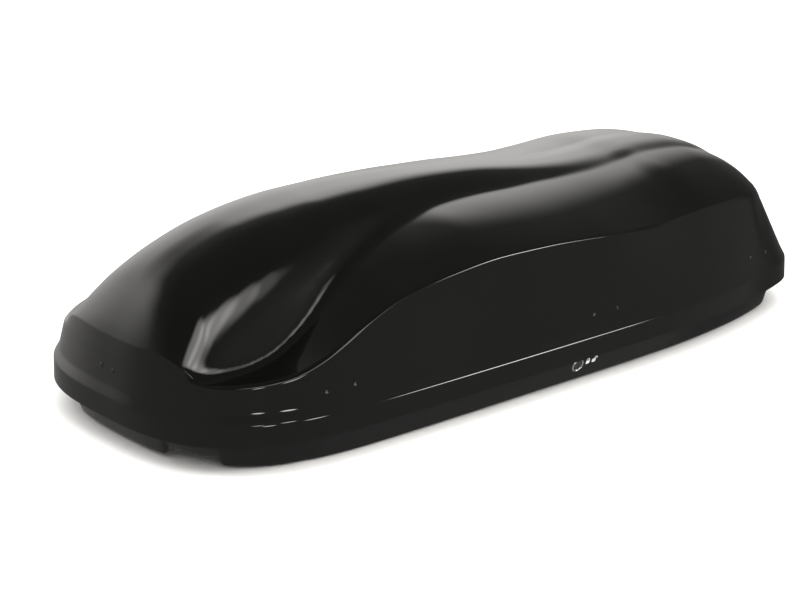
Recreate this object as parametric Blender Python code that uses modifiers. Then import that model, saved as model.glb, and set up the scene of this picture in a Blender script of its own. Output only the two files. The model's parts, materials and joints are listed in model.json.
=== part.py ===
"""Car roof box: a lid and a tray, each one moulded plastic shell, hinged along the far side.

Frame: +X runs from the nose to the tail, -Y is the side that opens and locks, +Z is up.
The origin is the middle of the tray's flat underside, where the box rests. All sizes are in metres.
"""
import functools
import math

import bmesh
import bpy
from mathutils import Matrix, Vector
from mathutils.bvhtree import BVHTree

# Overall size of the closed box
LENGTH = 1.900
WIDTH = 0.854
LID_HEIGHT = 0.400
TRAY_DEPTH = 0.068
SHELL_WALL = 0.003
TOUCH_GAP = 0.0003
HALF_WIDTH = WIDTH / 2
NOSE_X = -LENGTH / 2
TAIL_X = LENGTH / 2

# Outline seen from above: two rounded ends joined by slightly bowed sides
NOSE_LENGTH = 0.556
NOSE_TIP_POWER = 3.78
NOSE_SIDE_POWER = 2.92
TAIL_LENGTH = 0.130
TAIL_TIP_POWER = 2.67
TAIL_SIDE_POWER = 4.10
WIDEST_X = TAIL_X - 0.720
NOSE_BOW = 0.043
TAIL_BOW = 0.300
BOW_POWER = 2.5

# Lid edge: an upright skirt, a sloping ledge, then the leaning wall
SKIRT_HEIGHT = 0.049
SKIRT_TAPER = 0.001
LEDGE_RISE = 0.023
LEDGE_DEPTH = 0.011
WALL_LEAN_FRONT = 12.0
WALL_LEAN_REAR = 19.0
LEAN_CHANGE_START = TAIL_X - 0.750
LEAN_CHANGE_END = TAIL_X - 0.450
TAIL_STEP = 0.012
TAIL_EXTRA_LEAN = 0.20
NOSE_SLIDE_START = NOSE_X + NOSE_LENGTH
TAIL_SLIDE_START = TAIL_X - 0.160
TAIL_SLIDE_END = TAIL_X - 0.050

# Ridge: the line where the wall meets the roof. It dips at the two scoops behind the nose.
LIP_HEIGHT = 0.128
RIDGE_HEIGHT = 0.283
RIDGE_STEP_FRONT = 0.004
RIDGE_STEP_REAR = 0.011
RIDGE_WIDTH = 0.008
ROOF_BLEND = 0.028
HOOD_POWER = 3.0
SHOULDER_POWER_FRONT = 2.5
SHOULDER_POWER_REAR = 3.2
SHOULDER_RISE = 0.080
SHOULDER_CHANGE_START = TAIL_X - 0.650
SHOULDER_CHANGE_END = TAIL_X - 0.350

# Each profile lists (share of the length behind the nose, share of the full value)
RIDGE_PROFILE = (
    (0.010, 0.12), (0.026, 0.06), (0.053, 0.00), (0.089, 0.02), (0.129, 0.08), (0.163, 0.20),
    (0.200, 0.39), (0.237, 0.60), (0.290, 0.81), (0.363, 0.94), (0.437, 1.00), (0.505, 0.98),
    (0.605, 0.89), (0.660, 0.82), (0.732, 0.76), (0.800, 0.76), (0.890, 0.73), (0.974, 0.70),
)
CROWN_PROFILE = (
    (0.010, 0.00), (0.026, 0.20), (0.053, 0.43), (0.079, 0.59), (0.132, 0.78), (0.184, 0.90),
    (0.237, 0.965), (0.290, 0.995), (0.342, 1.00), (0.395, 0.99), (0.447, 0.965), (0.500, 0.925),
    (0.553, 0.875), (0.605, 0.81), (0.658, 0.745), (0.711, 0.70), (0.763, 0.685), (0.816, 0.71),
    (0.868, 0.685), (0.911, 0.62), (0.937, 0.54), (0.958, 0.41), (0.985, 0.34),
)
HOOD_WIDTH_PROFILE = (
    (0.010, 0.55), (0.079, 0.615), (0.158, 0.645), (0.237, 0.645), (0.342, 0.59), (0.447, 0.48),
    (0.553, 0.42), (0.658, 0.40), (0.990, 0.40),
)
SHOULDER_PROFILE = (
    (0.105, 0.00), (0.184, 0.18), (0.237, 0.40), (0.290, 0.60), (0.368, 0.77), (0.447, 0.79),
    (0.553, 0.75), (0.632, 0.80), (0.711, 0.87), (0.763, 0.90), (0.816, 0.99), (0.868, 0.95),
    (0.911, 0.75), (0.937, 0.51), (0.958, 0.12), (0.985, 0.00),
)

# Laying out the shells' meshes
LID_COLUMN_SPACING = 0.105
TRAY_COLUMN_SPACING = 0.105
NOSE_COLUMN_LEAD = 0.060
FLAT_REACH = 0.051
HINGE_FLAT_REACH = 0.043
STRUT_FLAT_REACH = 0.030
SPINE_FRONT = NOSE_X + 0.320
SPINE_REAR = TAIL_X - 0.175
SPINE_FRONT_BEND = NOSE_X + 0.550
SPINE_REAR_BEND = TAIL_X - 0.290

# Tray: a rim that lies inside the skirt, a leaning wall and a floor with two raised channels
RIM_INSET = 0.007
RIM_HEIGHT = 0.033
TRAY_WALL_INSET = 0.021
TRAY_FOOT_INSET = 0.040
FLOOR_EDGE_INSET = 0.060
EDGE_RISE_FRONT = 0.004
EDGE_RISE_REAR = 0.016
CHANNEL_INNER = 0.150
CHANNEL_OUTER = 0.270
CHANNEL_SLOPE = 0.015
CHANNEL_DEPTH = 0.018
KEEL_LINE = 0.080
SIDE_RUNNER_LINE = HALF_WIDTH - 0.097
TAIL_SQUEEZE = 0.78
SQUEEZE_START = TAIL_X - 0.350
SQUEEZE_END = TAIL_X - 0.100
FLAT_FRONT = NOSE_X + 0.290
FLAT_REAR = TAIL_X - 0.320
NOSE_RISE = 0.020
TAIL_RISE = 0.016

# Flat steel rails that stiffen the floor over the roof bars
RAIL_FRONT = NOSE_X + 0.510
RAIL_REAR = TAIL_X - 0.375
RAIL_WIDTH = 0.050
RAIL_THICKNESS = 0.0025
RAIL_RIVET_PLACES = (NOSE_X + 0.535, 0.010, TAIL_X - 0.515)

# Rivets
RIVET_HEAD = 0.0055
RIVET_HEAD_HEIGHT = 0.0024
RIVET_SHANK = 0.0022
RIVET_TAIL = 0.0038
RIVET_TAIL_HEIGHT = 0.0014
SMALL_RIVET_HEAD = 0.0042
SMALL_RIVET_HEAD_HEIGHT = 0.0018
RIVET_SIDES = 8

# Rivet pairs on the lid's opening side and nose, and the catches they hold
PAIR_PLACES = (NOSE_X + 0.349, WIDEST_X - 0.061, TAIL_X - 0.212)
PAIR_SPACING = 0.073
PAIR_HEIGHT = 0.095
NOSE_PAIR_SPACING = 0.045
NOSE_PAIR_HEIGHT = 0.107
CATCH_WIDTH = 0.098
CATCH_HEIGHT = 0.032
CATCH_SHEET = 0.0025
CATCH_HOOK_WIDTH = 0.012
CATCH_SWEEP = 0.012
TONGUE_END_GAP = 0.005
TONGUE_HEIGHT = 0.087
PLATE_GAP = 0.0007
LOCATOR_GAP = 0.008
LOCATOR_HEIGHT = 0.024
LOCATOR_MARGIN = 0.025

# Lock bar inside the tray's opening side
BAR_Y = 0.066 - HALF_WIDTH
BAR_REAR_Y = 0.122 - HALF_WIDTH
BAR_FRONT_END = NOSE_X + 0.290
BAR_BEND_START = TAIL_X - 0.480
BAR_BEND_END = TAIL_X - 0.280
BAR_REAR_END = TAIL_X - 0.160
BAR_HEIGHT = 0.066
BAR_DEPTH = 0.014
BAR_SHEET = 0.003
BAR_TRAVEL = 0.016
BAR_RUNNING_GAP = 0.0004
FINGER_WIDTH = 0.012
FINGER_END_GAP = 0.002
FINGER_LIFT = 0.0030
GUIDE_PLACES = (NOSE_X + 0.315, NOSE_X + 0.433, -0.260, TAIL_X - 0.526)
TAIL_GUIDE_PLACE = TAIL_X - 0.185
GUIDE_WIDTH = 0.024
GUIDE_LOW = 0.034
GUIDE_STEP = 0.054
GUIDE_HIGH = 0.080
TAIL_GUIDE_HIGH = 0.098
GUIDE_FLANGE = 0.0045
GUIDE_LIP = 0.006
GUIDE_RIVET_HEIGHT = 0.043
TAIL_GUIDE_RIVET_HEIGHT = 0.089
GUIDE_DRILL = 0.014

# Lock
LOCK_X = 0.094
LOCK_HEIGHT = 0.045
BEZEL_RADIUS = 0.0175
BEZEL_BORE = 0.0122
BEZEL_HEIGHT = 0.0034
HOUSING_RADIUS = 0.0155
HOUSING_DEPTH = 0.0300
BARREL_RADIUS = 0.0110
BARREL_PROUD = 0.0012
KEYWAY_LENGTH = 0.0095
KEYWAY_WIDTH = 0.0020
KEYWAY_DEPTH = 0.0060
CAM_RADIUS = 0.0160
CAM_THICKNESS = 0.0030
CRANK_PIN_RADIUS = 0.0030
CRANK_PIN_LENGTH = 0.0105
LOCK_SIDES = 16

# Hinges on the far side
HINGE_PLACES = (NOSE_X + 0.450, -0.020, TAIL_X - 0.490)
HINGE_OUTSET = 0.008
HINGE_DROP = 0.004
HINGE_LEAF_WIDTH = 0.070
HINGE_SHEET = 0.002
KNUCKLE_RADIUS = 0.005
KNUCKLE_BORE = 0.0023
HINGE_PIN_RADIUS = 0.0019
LID_KNUCKLE = 0.022
LID_NECK = 0.021
TRAY_KNUCKLE = 0.014
TRAY_ARM = 0.013
SHEET_OFFSET = 0.0037
HINGE_RIVET_OFFSET = 0.022
LID_LEAF_LOW = 0.010
LID_NECK_TOP = 0.016
LID_LEAF_HIGH = 0.041
LID_LEAF_RIVET = 0.025
HINGE_PIN_HEAD = 0.0034
HINGE_PIN_HEAD_HEIGHT = 0.0015
TRAY_LEAF_LOW = 0.020
TRAY_LEAF_HIGH = 0.052
TRAY_ARM_START = 0.046
TRAY_LEAF_RIVET = 0.034

# Gas struts. Both pivots lie at the same distance from the hinge line.
STRUT_PLACES = (NOSE_X + 0.450, TAIL_X - 0.330)
STRUT_PIVOT_REACH = 0.200
STRUT_REST_ANGLE = 52.0
LID_OPENING_ANGLE = 45.0
STRUT_CYLINDER_RADIUS = 0.0090
STRUT_ROD_RADIUS = 0.0040
STRUT_BORE_RADIUS = 0.0045
STRUT_EYE_RADIUS = 0.0095
STRUT_EYE_WIDTH = 0.008
ROD_TO_EYE = 0.0015
STRUT_STUD_RADIUS = 0.0040
STRUT_CYLINDER_START = 0.0075
STRUT_CYLINDER_END = 0.160
STRUT_BORE_START = 0.020
STRUT_ROD_START = 0.024
STRUT_SIDE_GAP = 0.0005
STRUT_STUD_END = 0.003
BRACKET_SHEET = 0.0030
BRACKET_WIDTH = 0.050
BRACKET_HEIGHT = 0.044
BRACKET_NOSE = 0.009
BRACKET_SHIFT = 0.0035
BRACKET_RIVET_SHIFTS = (-0.014, 0.021)
FOOT_RIVET_SHIFTS = (-0.012, 0.019)
FOOT_LENGTH = 0.046
FOOT_WIDTH = 0.030
ROUND_SIDES = 12
SMOOTH_ANGLE = 40.0

WALL_START_INSET = SKIRT_TAPER + LEDGE_DEPTH
WALL_START_HEIGHT = SKIRT_HEIGHT + LEDGE_RISE
HINGE_Y = HALF_WIDTH + HINGE_OUTSET
HINGE_Z = TRAY_DEPTH - HINGE_DROP
FLOOR_TOP = CHANNEL_DEPTH + SHELL_WALL
RAIL_Y = (CHANNEL_INNER + CHANNEL_OUTER) / 2
CRANK_RADIUS = BAR_TRAVEL / math.sqrt(2.0)
UP = Vector((0.0, 0.0, 1.0))
ALONG = Vector((1.0, 0.0, 0.0))


# Curves of the form

def mix(low, high, share):
    return low + (high - low) * share


def share_between(low, high, value):
    return min(1.0, max(0.0, (value - low) / (high - low)))


def ease(low, high, value):
    """Rises from 0 to 1 with a soft start and end."""
    share = share_between(low, high, value)
    return share * share * (3.0 - 2.0 * share)


@functools.lru_cache(maxsize=None)
def profile_slopes(stations):
    """Slopes that carry a smooth curve through the stations without overshoot."""
    steps = []
    for (place, value), (next_place, next_value) in zip(stations, stations[1:]):
        steps.append((next_place - place, (next_value - value) / (next_place - place)))
    slopes = [steps[0][1]]
    for (width, rise), (next_width, next_rise) in zip(steps, steps[1:]):
        if rise * next_rise <= 0.0:
            slopes.append(0.0)
            continue
        first = 2.0 * next_width + width
        second = next_width + 2.0 * width
        slopes.append((first + second) / (first / rise + second / next_rise))
    slopes.append(steps[-1][1])
    return slopes


def profile(stations, x):
    """Value of a profile at the place x along the box."""
    share = min(stations[-1][0], max(stations[0][0], (x + TAIL_X) / LENGTH))
    index = 0
    while index < len(stations) - 2 and stations[index + 1][0] < share:
        index += 1
    slopes = profile_slopes(stations)
    (start, low), (end, high) = stations[index], stations[index + 1]
    width = end - start
    t = (share - start) / width
    value = low * (1.0 + 2.0 * t) * (1.0 - t) ** 2 + high * t * t * (3.0 - 2.0 * t)
    value += width * slopes[index] * t * (1.0 - t) ** 2
    value += width * slopes[index + 1] * t * t * (t - 1.0)
    return value


def bowed_side(x, inset):
    """Half the width of the bowed side lines at x, before the ends round them off."""
    if x > WIDEST_X:
        bow = TAIL_BOW * ((x - WIDEST_X) / (TAIL_X - WIDEST_X)) ** BOW_POWER
    else:
        bow = NOSE_BOW * ((WIDEST_X - x) / (TAIL_X + WIDEST_X)) ** BOW_POWER
    return (HALF_WIDTH - inset) * (1.0 - bow)


def half_width(x, inset, tail_inset):
    """Half the width of the outline at x, moved in by inset, and by tail_inset at the tail."""
    nose = (NOSE_X + inset + NOSE_LENGTH - x) / NOSE_LENGTH
    tail = (x - TAIL_X + tail_inset + TAIL_LENGTH) / TAIL_LENGTH
    width = bowed_side(x, inset)
    if nose > 0.0:
        width *= max(0.0, 1.0 - nose ** NOSE_TIP_POWER) ** (1.0 / NOSE_SIDE_POWER)
    if tail > 0.0:
        width *= max(0.0, 1.0 - tail ** TAIL_TIP_POWER) ** (1.0 / TAIL_SIDE_POWER)
    return width


def slid_x(x, inset, tail_inset):
    """Place of a side column. The columns near the ends move in with them."""
    return x + inset * share_between(NOSE_SLIDE_START, NOSE_X, x) \
        - tail_inset * share_between(TAIL_SLIDE_START, TAIL_SLIDE_END, x)


def outline_point(column, inset, tail_inset):
    """Point of the outline on the opening side, for a column on the nose, a side or the tail."""
    kind, value = column
    if kind == "side":
        x = slid_x(value, inset, tail_inset)
        return x, -half_width(x, inset, tail_inset)
    if kind == "nose":
        x = NOSE_X + inset + NOSE_LENGTH * (1.0 - math.cos(value) ** (2.0 / NOSE_TIP_POWER))
        return x, -bowed_side(x, inset) * math.sin(value) ** (2.0 / NOSE_SIDE_POWER)
    x = TAIL_X - tail_inset - TAIL_LENGTH * (1.0 - math.cos(value) ** (2.0 / TAIL_TIP_POWER))
    return x, -bowed_side(x, inset) * math.sin(value) ** (2.0 / TAIL_SIDE_POWER)


def end_angle(kind, inset, reached):
    """Angle on a rounded end at which the test `reached` first holds for the outline point."""
    low, high = 0.0, math.pi / 2
    for _ in range(40):
        middle = (low + high) / 2
        if reached(*outline_point((kind, middle), inset, inset)):
            high = middle
        else:
            low = middle
    return (low + high) / 2


def even_angles(kind, last, count):
    """Angles from the middle of an end out to `last`, with points about the same distance apart."""
    fine = 200
    angles = [last * index / fine for index in range(fine + 1)]
    points = [outline_point((kind, angle), 0.0, 0.0) for angle in angles]
    lengths = [0.0]
    for start, end in zip(points, points[1:]):
        lengths.append(lengths[-1] + math.dist(start, end))
    chosen = []
    for index in range(count):
        wanted = lengths[-1] * index / count
        nearest = min(range(fine + 1), key=lambda place: abs(lengths[place] - wanted))
        chosen.append(angles[nearest])
    return chosen


def stations_with_flats(flats, spacing):
    """Places along a side: the ends of each flat, with even steps between and across them."""
    edges = []
    for low, high in sorted(flats):
        if edges and low < edges[-1] + 0.004:
            low = edges[-1]
            if high < low + 0.004:
                continue
            edges.append(high)
            continue
        edges += [low, high]
    places = [edges[0]]
    for low, high in zip(edges, edges[1:]):
        steps = max(1, math.ceil((high - low) / spacing - 0.25))
        for step in range(1, steps + 1):
            places.append(mix(low, high, step / steps))
    return places


# Lid form, with heights above the lid's lower edge

def tail_inset_of(inset):
    """The tail wall stands further in than the sides do."""
    return inset + TAIL_STEP * ease(WALL_START_INSET, WALL_START_INSET + 0.008, inset) \
        + TAIL_EXTRA_LEAN * inset


def lid_inset(x, height):
    """How far the lid's outer face lies inside the outline at a height."""
    if height <= SKIRT_HEIGHT:
        return SKIRT_TAPER * height / SKIRT_HEIGHT
    if height <= WALL_START_HEIGHT:
        return SKIRT_TAPER + LEDGE_DEPTH * (height - SKIRT_HEIGHT) / LEDGE_RISE
    lean = mix(WALL_LEAN_FRONT, WALL_LEAN_REAR, ease(LEAN_CHANGE_START, LEAN_CHANGE_END, x))
    return WALL_START_INSET + (height - WALL_START_HEIGHT) * math.tan(math.radians(lean))


def ridge_height(x):
    return mix(LIP_HEIGHT, RIDGE_HEIGHT, profile(RIDGE_PROFILE, x))


def ridge_step(x):
    """Height of the small step from the wall's top up to the ridge."""
    return mix(RIDGE_STEP_FRONT, RIDGE_STEP_REAR, ease(LEAN_CHANGE_START, LEAN_CHANGE_END, x))


def ridge_inset(x):
    return lid_inset(x, ridge_height(x) - ridge_step(x)) + RIDGE_WIDTH


def shoulder_surface(x, y):
    inset = ridge_inset(x)
    reach = half_width(x, inset, tail_inset_of(inset))
    across = min(1.0, abs(y) / reach) if reach > 0.0 else 1.0
    power = mix(SHOULDER_POWER_FRONT, SHOULDER_POWER_REAR, ease(SHOULDER_CHANGE_START, SHOULDER_CHANGE_END, x))
    rise = SHOULDER_RISE * profile(SHOULDER_PROFILE, x)
    return ridge_height(x) + rise * (1.0 - across ** power)


def hood_surface(x, y):
    nose_top = ridge_height(NOSE_X)
    crown = mix(nose_top, LID_HEIGHT, profile(CROWN_PROFILE, x))
    reach = HALF_WIDTH * profile(HOOD_WIDTH_PROFILE, x)
    return LIP_HEIGHT + (crown - LIP_HEIGHT) * (1.0 - (abs(y) / reach) ** HOOD_POWER)


def roof_height(x, y):
    """The hood and the shoulders, joined by a soft valley."""
    shoulder = shoulder_surface(x, y)
    hood = hood_surface(x, y)
    share = min(1.0, max(0.0, 0.5 + 0.5 * (hood - shoulder) / ROOF_BLEND))
    return mix(shoulder, hood, share) + ROOF_BLEND * share * (1.0 - share)


def spine_x(x):
    """Place on the roof's middle line that a point of the ridge is joined to."""
    if x < SPINE_FRONT_BEND:
        share = (SPINE_FRONT_BEND - x) / (SPINE_FRONT_BEND + TAIL_X)
        return mix(SPINE_FRONT_BEND, SPINE_FRONT, share)
    if x > SPINE_REAR_BEND:
        share = (x - SPINE_REAR_BEND) / (TAIL_X - SPINE_REAR_BEND)
        return mix(SPINE_REAR_BEND, SPINE_REAR, share)
    return x


def station_at(x, inset):
    """Side column that passes through x where the lid stands in by the inset."""
    station = x
    for _ in range(30):
        station += x - slid_x(station, inset, tail_inset_of(inset))
    return station


def lid_flats():
    """Stretches of the lid wall that stay flat, so that the catches and hinges lie against it."""
    inset = lid_inset(PAIR_PLACES[-1], PAIR_HEIGHT)
    flats = []
    for place in PAIR_PLACES:
        flats.append((station_at(place - FLAT_REACH, inset), station_at(place + FLAT_REACH, inset)))
    for place in HINGE_PLACES:
        flats.append((place - HINGE_FLAT_REACH, place + HINGE_FLAT_REACH))
    strut = STRUT_PLACES[-1] + BRACKET_SHIFT
    inset = lid_inset(strut, strut_lid_pivot().z - TRAY_DEPTH)
    flats.append((station_at(strut - STRUT_FLAT_REACH, inset),
                  station_at(strut + STRUT_FLAT_REACH, inset)))
    return flats


def lid_columns():
    stations = stations_with_flats(lid_flats(), LID_COLUMN_SPACING)
    last_nose = end_angle("nose", 0.0, lambda x, y: x > stations[0] - NOSE_COLUMN_LEAD)
    stations += [mix(stations[-1], TAIL_SLIDE_END, share) for share in (0.33, 0.66)]
    last_tail = end_angle("tail", 0.0, lambda x, y: x < TAIL_SLIDE_END)
    nose = even_angles("nose", last_nose, 9) + [last_nose]
    tail = even_angles("tail", last_tail, 7) + [last_tail]
    columns = [("nose", angle) for angle in nose]
    columns += [("side", x) for x in stations]
    columns += [("tail", angle) for angle in reversed(tail)]
    return columns


def spine_places(columns, ridge):
    """Points of the middle line, one for each column, kept apart at the rounded ends."""
    places = [spine_x(x) for x, y in ridge]
    first = sum(1 for kind, value in columns if kind == "nose")
    last = sum(1 for kind, value in columns if kind != "tail") - 1
    for index in range(first):
        places[index] = mix(SPINE_FRONT, places[first], index / first)
    for index in range(last + 1, len(columns)):
        places[index] = mix(places[last], SPINE_REAR, (index - last) / (len(columns) - 1 - last))
    return places


def lid_wall_point(column, height):
    """Outer face of the lid below the ridge."""
    x_guess = outline_point(column, WALL_START_INSET, WALL_START_INSET)[0]
    inset = lid_inset(x_guess, height)
    x, y = outline_point(column, inset, tail_inset_of(inset))
    return Vector((x, y, TRAY_DEPTH + height))


def lid_rows(columns):
    rows = []
    heights = [lambda top: 0.0, lambda top: SKIRT_HEIGHT, lambda top: WALL_START_HEIGHT,
               lambda top: mix(WALL_START_HEIGHT, top, 0.5), lambda top: top]
    for height_at in heights:
        row = []
        for column in columns:
            x = outline_point(column, WALL_START_INSET, WALL_START_INSET)[0]
            top = ridge_height(x) - ridge_step(x)
            row.append(lid_wall_point(column, height_at(top)))
        rows.append(row)
    ridge = []
    for column in columns:
        x_guess = outline_point(column, WALL_START_INSET, WALL_START_INSET)[0]
        inset = ridge_inset(x_guess)
        ridge.append(outline_point(column, inset, tail_inset_of(inset)))
    spine = spine_places(columns, ridge)
    for share in (0.0, 0.09, 0.2, 0.33, 0.47, 0.62, 0.8, 1.0):
        row = []
        for (x, y), spine_place in zip(ridge, spine):
            x_here = mix(x, spine_place, share)
            y_here = mix(y, 0.0, share)
            row.append(Vector((x_here, y_here, TRAY_DEPTH + roof_height(x_here, y_here))))
        rows.append(row)
    return rows


# Tray form

def edge_rise(x):
    return mix(EDGE_RISE_FRONT, EDGE_RISE_REAR, ease(FLAT_FRONT, TAIL_X, x))


def floor_height(x, y):
    """Underside of the tray: three runners and two raised channels, turned up at both ends."""
    across = abs(y)
    squeeze = mix(1.0, TAIL_SQUEEZE, ease(SQUEEZE_START, SQUEEZE_END, x))
    rising = share_between(CHANNEL_INNER, CHANNEL_INNER + CHANNEL_SLOPE, across / squeeze)
    falling = share_between(CHANNEL_OUTER - CHANNEL_SLOPE, CHANNEL_OUTER, across / squeeze)
    front = share_between(FLAT_FRONT, NOSE_X, x)
    rear = share_between(FLAT_REAR, TAIL_X, x)
    return CHANNEL_DEPTH * (rising - falling) + NOSE_RISE * front ** 2 + TAIL_RISE * rear ** 2


FLOOR_LINES = (0.0, KEEL_LINE, CHANNEL_INNER, CHANNEL_INNER + CHANNEL_SLOPE,
               CHANNEL_OUTER - CHANNEL_SLOPE, CHANNEL_OUTER, SIDE_RUNNER_LINE)


def tray_flats():
    """Stretches of the tray wall that stay flat, where guides, hinges and the lock lie on it."""
    reaches = [(GUIDE_PLACES[0], 0.027, 0.029), (HINGE_PLACES[0], 0.048, 0.048),
               (GUIDE_PLACES[2], 0.030, 0.030), (HINGE_PLACES[1], 0.045, 0.045),
               (LOCK_X, 0.034, 0.034), (HINGE_PLACES[2], 0.055, 0.045),
               (TAIL_GUIDE_PLACE, 0.085, -0.015), (TAIL_GUIDE_PLACE, -0.015, 0.035)]
    return [(place - before, place + after) for place, before, after in reaches]


def tray_columns():
    stations = stations_with_flats(tray_flats(), TRAY_COLUMN_SPACING)
    nose = []
    for line in FLOOR_LINES:
        nose.append(end_angle("nose", FLOOR_EDGE_INSET, lambda x, y, line=line: -y > line))
    tail = []
    for line in FLOOR_LINES:
        wanted = line * TAIL_SQUEEZE
        tail.append(end_angle("tail", FLOOR_EDGE_INSET, lambda x, y, wanted=wanted: -y > wanted))
    nose[0] = 0.0
    tail[0] = 0.0
    columns = [("nose", angle) for angle in nose]
    columns += [("side", x) for x in stations]
    columns += [("tail", angle) for angle in reversed(tail)]
    return columns, stations


def tray_rows(columns):
    """Rim, wall and foot rows, from the rim's outer edge down to the edge of the floor."""
    rim = TRAY_DEPTH + RIM_HEIGHT
    levels = [
        (RIM_INSET, lambda x, y: rim),
        (TRAY_WALL_INSET, lambda x, y: rim),
        (TRAY_WALL_INSET, lambda x, y: TRAY_DEPTH),
        (TRAY_FOOT_INSET, lambda x, y: floor_height(x, y) + edge_rise(x)),
        (mix(TRAY_FOOT_INSET, FLOOR_EDGE_INSET, 0.4),
         lambda x, y: floor_height(x, y) + edge_rise(x) * 0.3),
        (FLOOR_EDGE_INSET, floor_height),
    ]
    rows = []
    for inset, height_at in levels:
        row = []
        for column in columns:
            x, y = outline_point(column, inset, inset)
            edge = outline_point(column, FLOOR_EDGE_INSET, FLOOR_EDGE_INSET)
            row.append(Vector((x, y, height_at(x if column[0] == "side" else edge[0], edge[1]))))
        rows.append(row)
    return rows


# Strut geometry, in the YZ plane

def strut_tray_pivot():
    return Vector((0.0, HINGE_Y - STRUT_PIVOT_REACH, HINGE_Z))


def strut_lid_pivot():
    angle = math.pi - math.radians(STRUT_REST_ANGLE)
    return Vector((0.0, HINGE_Y + STRUT_PIVOT_REACH * math.cos(angle),
                   HINGE_Z + STRUT_PIVOT_REACH * math.sin(angle)))


def strut_length(lid_angle):
    """Distance between the pivots when the lid is open by an angle in degrees."""
    return 2.0 * STRUT_PIVOT_REACH * math.sin(math.radians(STRUT_REST_ANGLE + lid_angle) / 2)


def strut_slack():
    """Half the play along the strut, because its even stroke and the lid's arc differ a little."""
    even = (strut_length(0.0) + strut_length(LID_OPENING_ANGLE)) / 2
    return (strut_length(LID_OPENING_ANGLE / 2) - even) / 2


# Places on the shells where fittings are fixed

class Seat:
    """A point on a shell with the direction out of it and the direction along it."""

    def __init__(self, point, out, along):
        self.point = point
        self.out = out.normalized()
        self.along = along.normalized()

    def frame(self, depth=0.0):
        """Matrix whose Z points out of the shell and whose origin lies `depth` below the face."""
        across = self.out.cross(self.along)
        matrix = Matrix((self.along, across, self.out)).transposed().to_4x4()
        matrix.translation = self.point - self.out * depth
        return matrix


def seat_on(surface, start, direction, side):
    """Seat where a ray meets a half shell's outer face. Side is -1 where the box opens, else 1."""
    point, out, _, _ = surface.ray_cast(Vector(start), Vector(direction))
    if out.dot(Vector(direction)) > 0.0:
        out = -out
    along = ALONG if abs(out.x) < 0.7 else Vector((0.0, -1.0, 0.0))
    along = along - out * along.dot(out)
    if side > 0:
        point, out, along = [Vector((v.x, -v.y, v.z)) for v in (point, out, along)]
    return Seat(point, out, along)


@functools.lru_cache(maxsize=None)
def lid_surface():
    points, faces = lid_grid()
    return BVHTree.FromPolygons(points, faces)


@functools.lru_cache(maxsize=None)
def tray_surface():
    points, faces = tray_grid()
    return BVHTree.FromPolygons(points, faces)


def lid_seat(x, level, side):
    return seat_on(lid_surface(), (x, -WIDTH, level), (0.0, 1.0, 0.0), side)


def tray_seat(x, level, side):
    return seat_on(tray_surface(), (x, -WIDTH, level), (0.0, 1.0, 0.0), side)


def level_y(seat_function, x, level, side, depth):
    """Y of a point that lies `depth` inside a shell's outer face, at the place x and the level."""
    seat = seat_function(x, level, side)
    return seat.point.y - side * depth / abs(seat.out.y)


def wall_up(seat):
    """Direction up a wall from its seat."""
    upward = UP - seat.out * seat.out.z
    return upward.normalized()


# Scene and mesh helpers

def clear_scene():
    for item in list(bpy.data.objects):
        bpy.data.objects.remove(item, do_unlink=True)


def new_collection(name):
    collection = bpy.data.collections.new(name)
    bpy.context.scene.collection.children.link(collection)
    return collection


def principled(name, color, metallic, roughness):
    material = bpy.data.materials.new(name)
    material.use_nodes = True
    shader = material.node_tree.nodes["Principled BSDF"]
    shader.inputs["Base Color"].default_value = (*color, 1.0)
    shader.inputs["Metallic"].default_value = metallic
    shader.inputs["Roughness"].default_value = roughness
    return material


clear_scene()
PARTS = new_collection("roof_box")
CUTTERS = new_collection("roof_box_cutters")
GLOSS_BLACK = (0.010, 0.010, 0.011)
PLASTIC_BLACK = (0.020, 0.020, 0.021)
COATED_BLACK = (0.018, 0.018, 0.019)
STEEL = (0.560, 0.570, 0.580)
CHROME = (0.800, 0.810, 0.820)


def add_object(name, mesh, finish=None):
    """A part gets a finish and goes with the parts. Without one it is a cutter."""
    mesh.shade_smooth()
    mesh.set_sharp_from_angle(angle=math.radians(SMOOTH_ANGLE))
    item = bpy.data.objects.new(name, mesh)
    if finish is None:
        CUTTERS.objects.link(item)
        item.hide_render = True
        item.display_type = "WIRE"
        return item
    PARTS.objects.link(item)
    item.data.materials.append(principled(name, *finish))
    return item


def mesh_from(name, points, faces):
    mesh = bpy.data.meshes.new(name)
    mesh.from_pydata([tuple(point) for point in points], [], faces)
    mesh.validate()
    return mesh


def solidify(item, thickness, offset):
    modifier = item.modifiers.new("wall", "SOLIDIFY")
    modifier.thickness = thickness
    modifier.offset = offset
    modifier.use_even_offset = True
    return modifier


def boolean(item, other, operation):
    modifier = item.modifiers.new(operation.lower(), "BOOLEAN")
    modifier.operation = operation
    modifier.solver = "EXACT"
    modifier.object = other


def finished_mesh(item):
    """The item's mesh with its modifiers applied."""
    graph = bpy.context.evaluated_depsgraph_get()
    graph.update()
    return bpy.data.meshes.new_from_object(item.evaluated_get(graph))


def joined_mesh(name, pieces):
    """One mesh that holds several placed meshes, given as (mesh, matrix) pairs."""
    result = bmesh.new()
    for mesh, matrix in pieces:
        before = len(result.verts)
        result.from_mesh(mesh)
        result.verts.ensure_lookup_table()
        bmesh.ops.transform(result, matrix=matrix, verts=result.verts[before:])
    mesh = bpy.data.meshes.new(name)
    result.to_mesh(mesh)
    result.free()
    return mesh


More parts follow.
